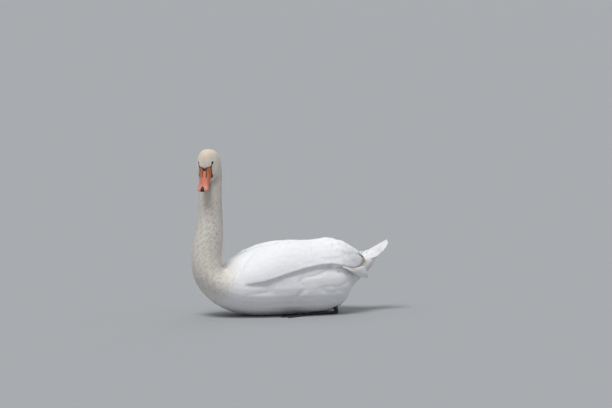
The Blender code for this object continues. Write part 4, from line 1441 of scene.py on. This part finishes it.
def upper_bill(across, along):
    """The upper bill: a domed roof with lobes, ridge, nostrils and hooked nail, over a flat palate."""
    turn = across * 2 * math.pi
    side, lift = super_round(turn, 2.3)
    root = np.degrees(np.arctan2(np.abs(side) * 19.8, lift * 25.6 - 12.2))
    tuck = 1.4 * smooth_step(root, 6, 26) - 0.2  # how far the horn runs in under the feathers
    start = np.where(lift > 0, np.interp(root, FACE_ANGLES, FEATHER_EDGE) - tuck, 34.0)
    reach = start + (104.5 - start) * (1 - (1 - along) ** 1.45)
    width = smooth_curve(reach, BILL_REACH, BILL_WIDTH)
    ridge = smooth_curve(reach, BILL_REACH, BILL_RIDGE)
    lip = smooth_curve(reach, BILL_REACH, BILL_LIP)
    tipward = np.sqrt(np.clip(1 - ((reach - 100) / 4.5).clip(0, 1) ** 2, 0, 1))
    closed = np.where(along > 0.9999, 0.0, 1.0)
    y = side * width * closed
    tall = np.where(lift < 0, -1.2, ridge - lip) * closed * np.where(reach > 100, 0.4 + 0.6 * tipward, 1)
    z = lip + lift * tall
    rise = 0.5 * np.exp(-((y / 3.4) ** 2)) * smooth_step(reach, 30, 40) * smooth_step(reach, 92, 70)
    rise = rise - 1.8 * nostril_share(reach, y) ** 0.5
    channel = smooth_step(reach, 34, 42) * smooth_step(reach, 70, 58)
    rise = rise - 0.6 * np.exp(-(((np.abs(y) - 8.0) / 2.4) ** 2)) * channel
    rise = rise + 0.7 * smooth_step(nail_share(reach, y), 0.0, 0.18)
    rise = rise - 0.3 * np.exp(-(((nail_share(reach, y) + 0.03) / 0.06) ** 2)) * (reach > 84)
    z = z + np.where(lift > 0.02, rise, 0)
    flare = 0.35 * np.exp(-(((z - lip) / 1.4) ** 2)) * smooth_step(reach, 20, 40)
    y = y + np.sign(y) * flare * closed
    # Near its root the horn spreads over the front of the head
    over = (reach < 48) & (lift > 0)
    angle = np.arctan2(y[over], z[over] - BILL_MIDDLE)
    ways = np.stack((np.zeros_like(angle), np.sin(angle), np.cos(angle)), 1)
    axis = np.stack((reach[over], np.zeros_like(angle), np.full_like(angle, BILL_MIDDLE)), 1)
    found = form().outermost(from_head(axis), ways @ HEAD_AXES)
    head = np.linalg.norm(to_head(found) - axis, axis=1)
    own = np.hypot(y[over], z[over] - BILL_MIDDLE)
    proud = 0.55 * smooth_step(along[over], 0.0, 0.03) - 0.9 * smooth_step(along[over], 0.02, 0.0)
    lobe = 0.9 * np.exp(-(((np.abs(angle) - 0.72) / 0.30) ** 2)) * smooth_step(along[over], 0.0, 0.05)
    lobe = lobe * smooth_step(reach[over], 44, 34)
    share = smooth_step(reach[over], 47, 43)
    radius = own * (1 - share) + np.maximum(own, head + proud + lobe) * share
    y[over], z[over] = radius * np.sin(angle), BILL_MIDDLE + radius * np.cos(angle)
    return from_head(np.stack((reach, y, z), 1))


def lower_bill(across, along):
    """The lower bill: a shallow trough that closes against the upper one."""
    reach = 12 + 84.5 * along
    width = 13.5 + 1.0 * np.sin(math.pi * along) - 6 * along**6
    depth = 3.6 + 9.5 * (1 - along) ** 0.6
    side, lift = super_round(across * 2 * math.pi, 2.2)
    closed = np.where((along > 0.9999) | (along < 0.0001), 0.0, 1.0)
    rounding = np.sqrt(np.clip(1 - ((along - 0.93) / 0.07).clip(0, 1) ** 2, 0.05, 1))
    lip = smooth_curve(reach, BILL_REACH, BILL_LIP)
    z = lip + 0.4 + np.where(lift > 0, 0.1, depth * rounding) * lift * closed
    groove = 0.8 * np.exp(-((side / 0.18) ** 2)) * smooth_step(reach, 85, 40)
    y = side * width * closed * rounding
    return from_head(np.stack((reach, y, z + np.where(lift < 0, groove, 0)), 1))


class SWAN_OT_bill(bpy.types.Operator):
    """The two halves of the bill, the knob, and the bare black skin between the bill and the eyes"""

    bl_idname = "swan.bill"
    bl_label = "Bill"

    def execute(self, context):
        horn, skin = horn_material(), black_skin_material()
        upper = shaped_grid("bill_upper_horn", 220, 190, upper_bill)
        local = to_head(places_of(upper))
        x, y, z = local.T
        lip = smooth_curve(x, BILL_REACH, BILL_LIP)
        base = np.interp(face_angle(local), FACE_ANGLES, ORANGE_EDGE) - x
        black = smooth_step(base, -0.4, 0.4) * (x < 46)
        black = np.maximum(black, smooth_step(lip + 1.3 - z, -0.3, 0.3) * smooth_step(x, 92, 84))
        black = np.maximum(black, smooth_step(nostril_share(x, y), 0.0, 0.15))
        black = np.maximum(black, smooth_step(nail_share(x, y), -0.05, 0.05) * (z > lip) * (x > 84))
        aside, half = (np.interp(x, BLACK_LINES[0], values) for values in BLACK_LINES[1:])
        line = 1 - np.abs((np.abs(y) - aside) / half)
        black = np.maximum(black, smooth_step(line, -0.15, 0.35) * (x < 57))
        black = np.maximum(black, smooth_step(aside - np.abs(y), -0.3, 0.3) * smooth_step(x, 33, 31.5))
        store(upper, "black", black)
        store(upper, "front", smooth_step(x, 30, 50))
        ridge = 0.5 * np.exp(-((y / 3.5) ** 2)) * smooth_step(x, 33, 37) * smooth_step(x, 75, 60)
        store(upper, "tip", np.maximum(smooth_step(x, 74, 98) * 0.9, ridge))
        finish_piece(upper, horn, "bill_horn", "bill_upper")
        lower = shaped_grid("bill_lower_horn", 64, 60, lower_bill)
        local = to_head(places_of(lower))
        rim = local[:, 2] - smooth_curve(local[:, 0], BILL_REACH, BILL_LIP)
        store(lower, "black", np.maximum(smooth_step(rim, -1.6, -1.0), smooth_step(local[:, 0], 38, 26)))
        store(lower, "front", np.ones(len(local)))
        store(lower, "tip", np.zeros(len(local)))
        finish_piece(lower, horn, "bill_horn", "bill_lower")

        def knob_shape(ball):
            flat = ball * KNOB_HALF
            flat[:, 1] *= 1 - 0.24 * ball[:, 0]  # narrower ahead
            flat[:, 2] -= 0.45 * flat[:, 0]  # and lower
            return from_head(flat + KNOB_PLACE)

        knob = shaped_ball("bill_knob_skin", 40, 24, knob_shape)
        finish_piece(knob, skin, "black_skin", "bill_knob")
        for name, side in SIDES:
            self.build_spur(name, -side, skin)
        return {"FINISHED"}

    def build_spur(self, name, side, skin):
        """The black spur of bare skin that runs from the bill's root to an eye."""
        surface = form()
        upper, lower = np.array(SPUR_UPPER), np.array(SPUR_LOWER)

        def spur(across, along):
            place = along * (len(upper) - 1)
            top = [smooth_curve(place, np.arange(len(upper)), upper[:, k]) for k in (0, 1)]
            low = [smooth_curve(place, np.arange(len(lower)), lower[:, k]) for k in (0, 1)]
            angle = np.radians(top[0] * (1 - across) + low[0] * across) * side
            reach = top[1] * (1 - across) + low[1] * across
            start = from_head(np.stack((reach, 0 * reach, 0 * reach + BILL_MIDDLE), 1))
            ways = np.stack((0 * angle, np.sin(angle), np.cos(angle)), 1) @ HEAD_AXES
            found = surface.outermost(start, ways)
            rise = 0.55 * np.clip(np.minimum(across, 1 - across) * 5, 0, 1) ** 0.7 - 0.35
            return found + ways * (rise * MM)[:, None]

        item = shaped_grid(f"lore_{name}", 14, 60, spur)
        apply_modifier(item, "SOLIDIFY", thickness=0.0010, offset=-1.0 * side)
        finish_piece(item, skin, "black_skin")


class SWAN_OT_eyes(bpy.types.Operator):
    """The eyeballs and their lids"""

    bl_idname = "swan.eyes"
    bl_label = "Eyes"

    def execute(self, context):
        wet, skin = eye_material(), black_skin_material()
        radius = sizes().eye_radius / MM
        for name, side in SIDES:
            seat, axes = (part * (1, -side, 1) for part in eye_seat())
            centre = seat - axes[2] * EYE_DEPTH

            def eyeball(ball, centre=centre, axes=axes):
                bulge = 1 + 0.06 * smooth_step(ball[:, 2], 0.75, 0.97)  # the cornea stands a little proud
                return from_head(centre + (ball * (radius * bulge)[:, None]) @ axes)

            eye = shaped_ball(f"eyeball_{name}", 48, 32, eyeball)
            local = (to_head(places_of(eye)) - centre) @ axes.T
            store(eye, "pupil", smooth_step(np.hypot(local[:, 0], local[:, 1]), 2.4, 2.1))
            finish_piece(eye, wet, "eye", f"eye_{name}")
            deselect()
            bpy.ops.mesh.primitive_torus_add(
                major_segments=64, minor_segments=16, major_radius=1, minor_radius=0.25
            )
            lid = context.object
            lid.name = lid.data.name = f"eyelid_{name}"
            ring = places_of(lid)
            turn = np.arctan2(ring[:, 1], ring[:, 0])
            out, high = np.hypot(ring[:, 0], ring[:, 1]) - 1, ring[:, 2]
            corner = np.cos(turn) ** 8 * (0.9 * (np.cos(turn) > 0) + 0.4)  # drawn out at the corners
            x = np.cos(turn) * (LID_HALF[0] + corner + out * 3.4)
            y = np.sin(turn) * (LID_HALF[1] + out * 3.6)
            level = 0.25 - 0.014 * (x**2 + y**2) + high * 2.0 - out * 1.2
            move_points(lid, from_head(seat + np.stack((x, y, level), 1) @ axes))
            close_seams(lid, 1e-6)
            bpy.ops.object.shade_smooth()
            finish_piece(lid, skin, "black_skin")
        return {"FINISHED"}


class SWAN_OT_feet(bpy.types.Operator):
    """The folded legs, webs and claws"""

    bl_idname = "swan.feet"
    bl_label = "Feet"

    def execute(self, context):
        leather = foot_material()
        for name, _ in SIDES:
            foot = copy_nodes(f"leg_{name}", (f"foot_{name}",))
            apply_modifier(foot, "REMESH", mode="VOXEL", voxel_size=FOOT_GRAIN)
            apply_modifier(foot, "SMOOTH", factor=0.5, iterations=5)
            foot.data.shade_smooth()
            finish_piece(foot, leather, "webbed_skin", f"foot_{name}")
        return {"FINISHED"}


VIEW_SIDE, VIEW_HEIGHT = -22.0, 5.0  # degrees round the bird from its left side, and above level
VIEW_DISTANCE = 20.0
VIEW_WIDTH = 2.234  # what the picture takes in at the bird
VIEW_CENTRE = (0.0550, 0.3985)  # the picture's middle, to the right and up, at the bird
# Lamps: name, where it shines from, how wide its light is in degrees, and its strength
LAMPS = (("key", (-1.15, -0.95, 3.1), 28.0, 2.1), ("rim", (1.0, 1.6, 1.6), 40.0, 0.35))
AIR_STRENGTH = 0.46  # of the light from all round


class SWAN_OT_stage(bpy.types.Operator):
    """A pale floor, soft light and the camera"""

    bl_idname = "swan.stage"
    bl_label = "Stage"

    def execute(self, context):
        deselect()
        bpy.ops.mesh.primitive_plane_add(size=400)
        floor = context.object
        floor.name = "studio_floor"
        floor.data.materials.append(floor_material())
        for name, way, softness, power in LAMPS:
            bpy.ops.object.light_add(type="SUN", location=Vector(way) * 3)
            lamp = context.object
            lamp.name = f"soft_{name}"
            lamp.data.angle = math.radians(softness)
            lamp.data.energy = power
            lamp.rotation_euler = (-Vector(way)).to_track_quat("-Z", "Y").to_euler()
        world = bpy.data.worlds.new("studio_air")
        context.scene.world = world
        world.use_nodes = True
        background = world.node_tree.nodes["Background"]
        background.inputs["Color"].default_value = (*linear("#f2f5fa"), 1.0)
        background.inputs["Strength"].default_value = AIR_STRENGTH
        context.scene.view_settings.view_transform = "Standard"
        side, height = math.radians(VIEW_SIDE), math.radians(VIEW_HEIGHT)
        right = Vector((math.cos(side), math.sin(side), 0))
        level = math.cos(height)
        back = Vector((math.sin(side) * level, -math.cos(side) * level, math.sin(height)))
        up = back.cross(right)
        aim = right * VIEW_CENTRE[0] + up * VIEW_CENTRE[1]
        bpy.ops.object.camera_add(location=aim + back * VIEW_DISTANCE)
        camera = context.object
        camera.rotation_mode = "QUATERNION"
        camera.rotation_quaternion = (-back).to_track_quat("-Z", "Y")
        camera.data.sensor_width = 36.0
        camera.data.lens = camera.data.sensor_width * VIEW_DISTANCE / VIEW_WIDTH
        camera.data.clip_end = 1000.0
        context.scene.camera = camera
        return {"FINISHED"}


STEPS = (
    SWAN_OT_skin, SWAN_OT_head_feathers, SWAN_OT_neck_feathers, SWAN_OT_body_feathers, SWAN_OT_wing_coverts,
    SWAN_OT_flight_feathers, SWAN_OT_tail, SWAN_OT_bill, SWAN_OT_eyes, SWAN_OT_feet, SWAN_OT_stage,
)


class SWAN_PT_panel(bpy.types.Panel):
    """The swan's pieces, in the order of making"""

    bl_idname = "SWAN_PT_panel"
    bl_label = "Mute swan"
    bl_space_type = "VIEW_3D"
    bl_region_type = "UI"
    bl_category = "Swan"

    def draw(self, context):
        for step in STEPS:
            self.layout.operator(step.bl_idname)
        for group in (context.scene.swan_sizes, context.scene.swan_colours):
            for name in group.__annotations__:
                self.layout.prop(group, name)


CLASSES = (SwanSizes, SwanColours, *STEPS, SWAN_PT_panel)


def register():
    """Adds the classes, and the settings that the scene keeps."""
    for kind in CLASSES:
        bpy.utils.register_class(kind)
    bpy.types.Scene.swan_sizes = PointerProperty(type=SwanSizes)
    bpy.types.Scene.swan_colours = PointerProperty(type=SwanColours)


def unregister():
    """Takes them out again."""
    del bpy.types.Scene.swan_colours
    del bpy.types.Scene.swan_sizes
    for kind in reversed(CLASSES):
        bpy.utils.unregister_class(kind)


def main():
    """Makes the swan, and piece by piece."""
    register()
    bpy.ops.swan.skin()
    bpy.ops.swan.head_feathers()
    bpy.ops.swan.neck_feathers()
    bpy.ops.swan.body_feathers()
    bpy.ops.swan.wing_coverts()
    bpy.ops.swan.flight_feathers()
    bpy.ops.swan.tail()
    bpy.ops.swan.bill()
    bpy.ops.swan.eyes()
    bpy.ops.swan.feet()
    bpy.ops.swan.stage()


if __name__ == "__main__":
    main()
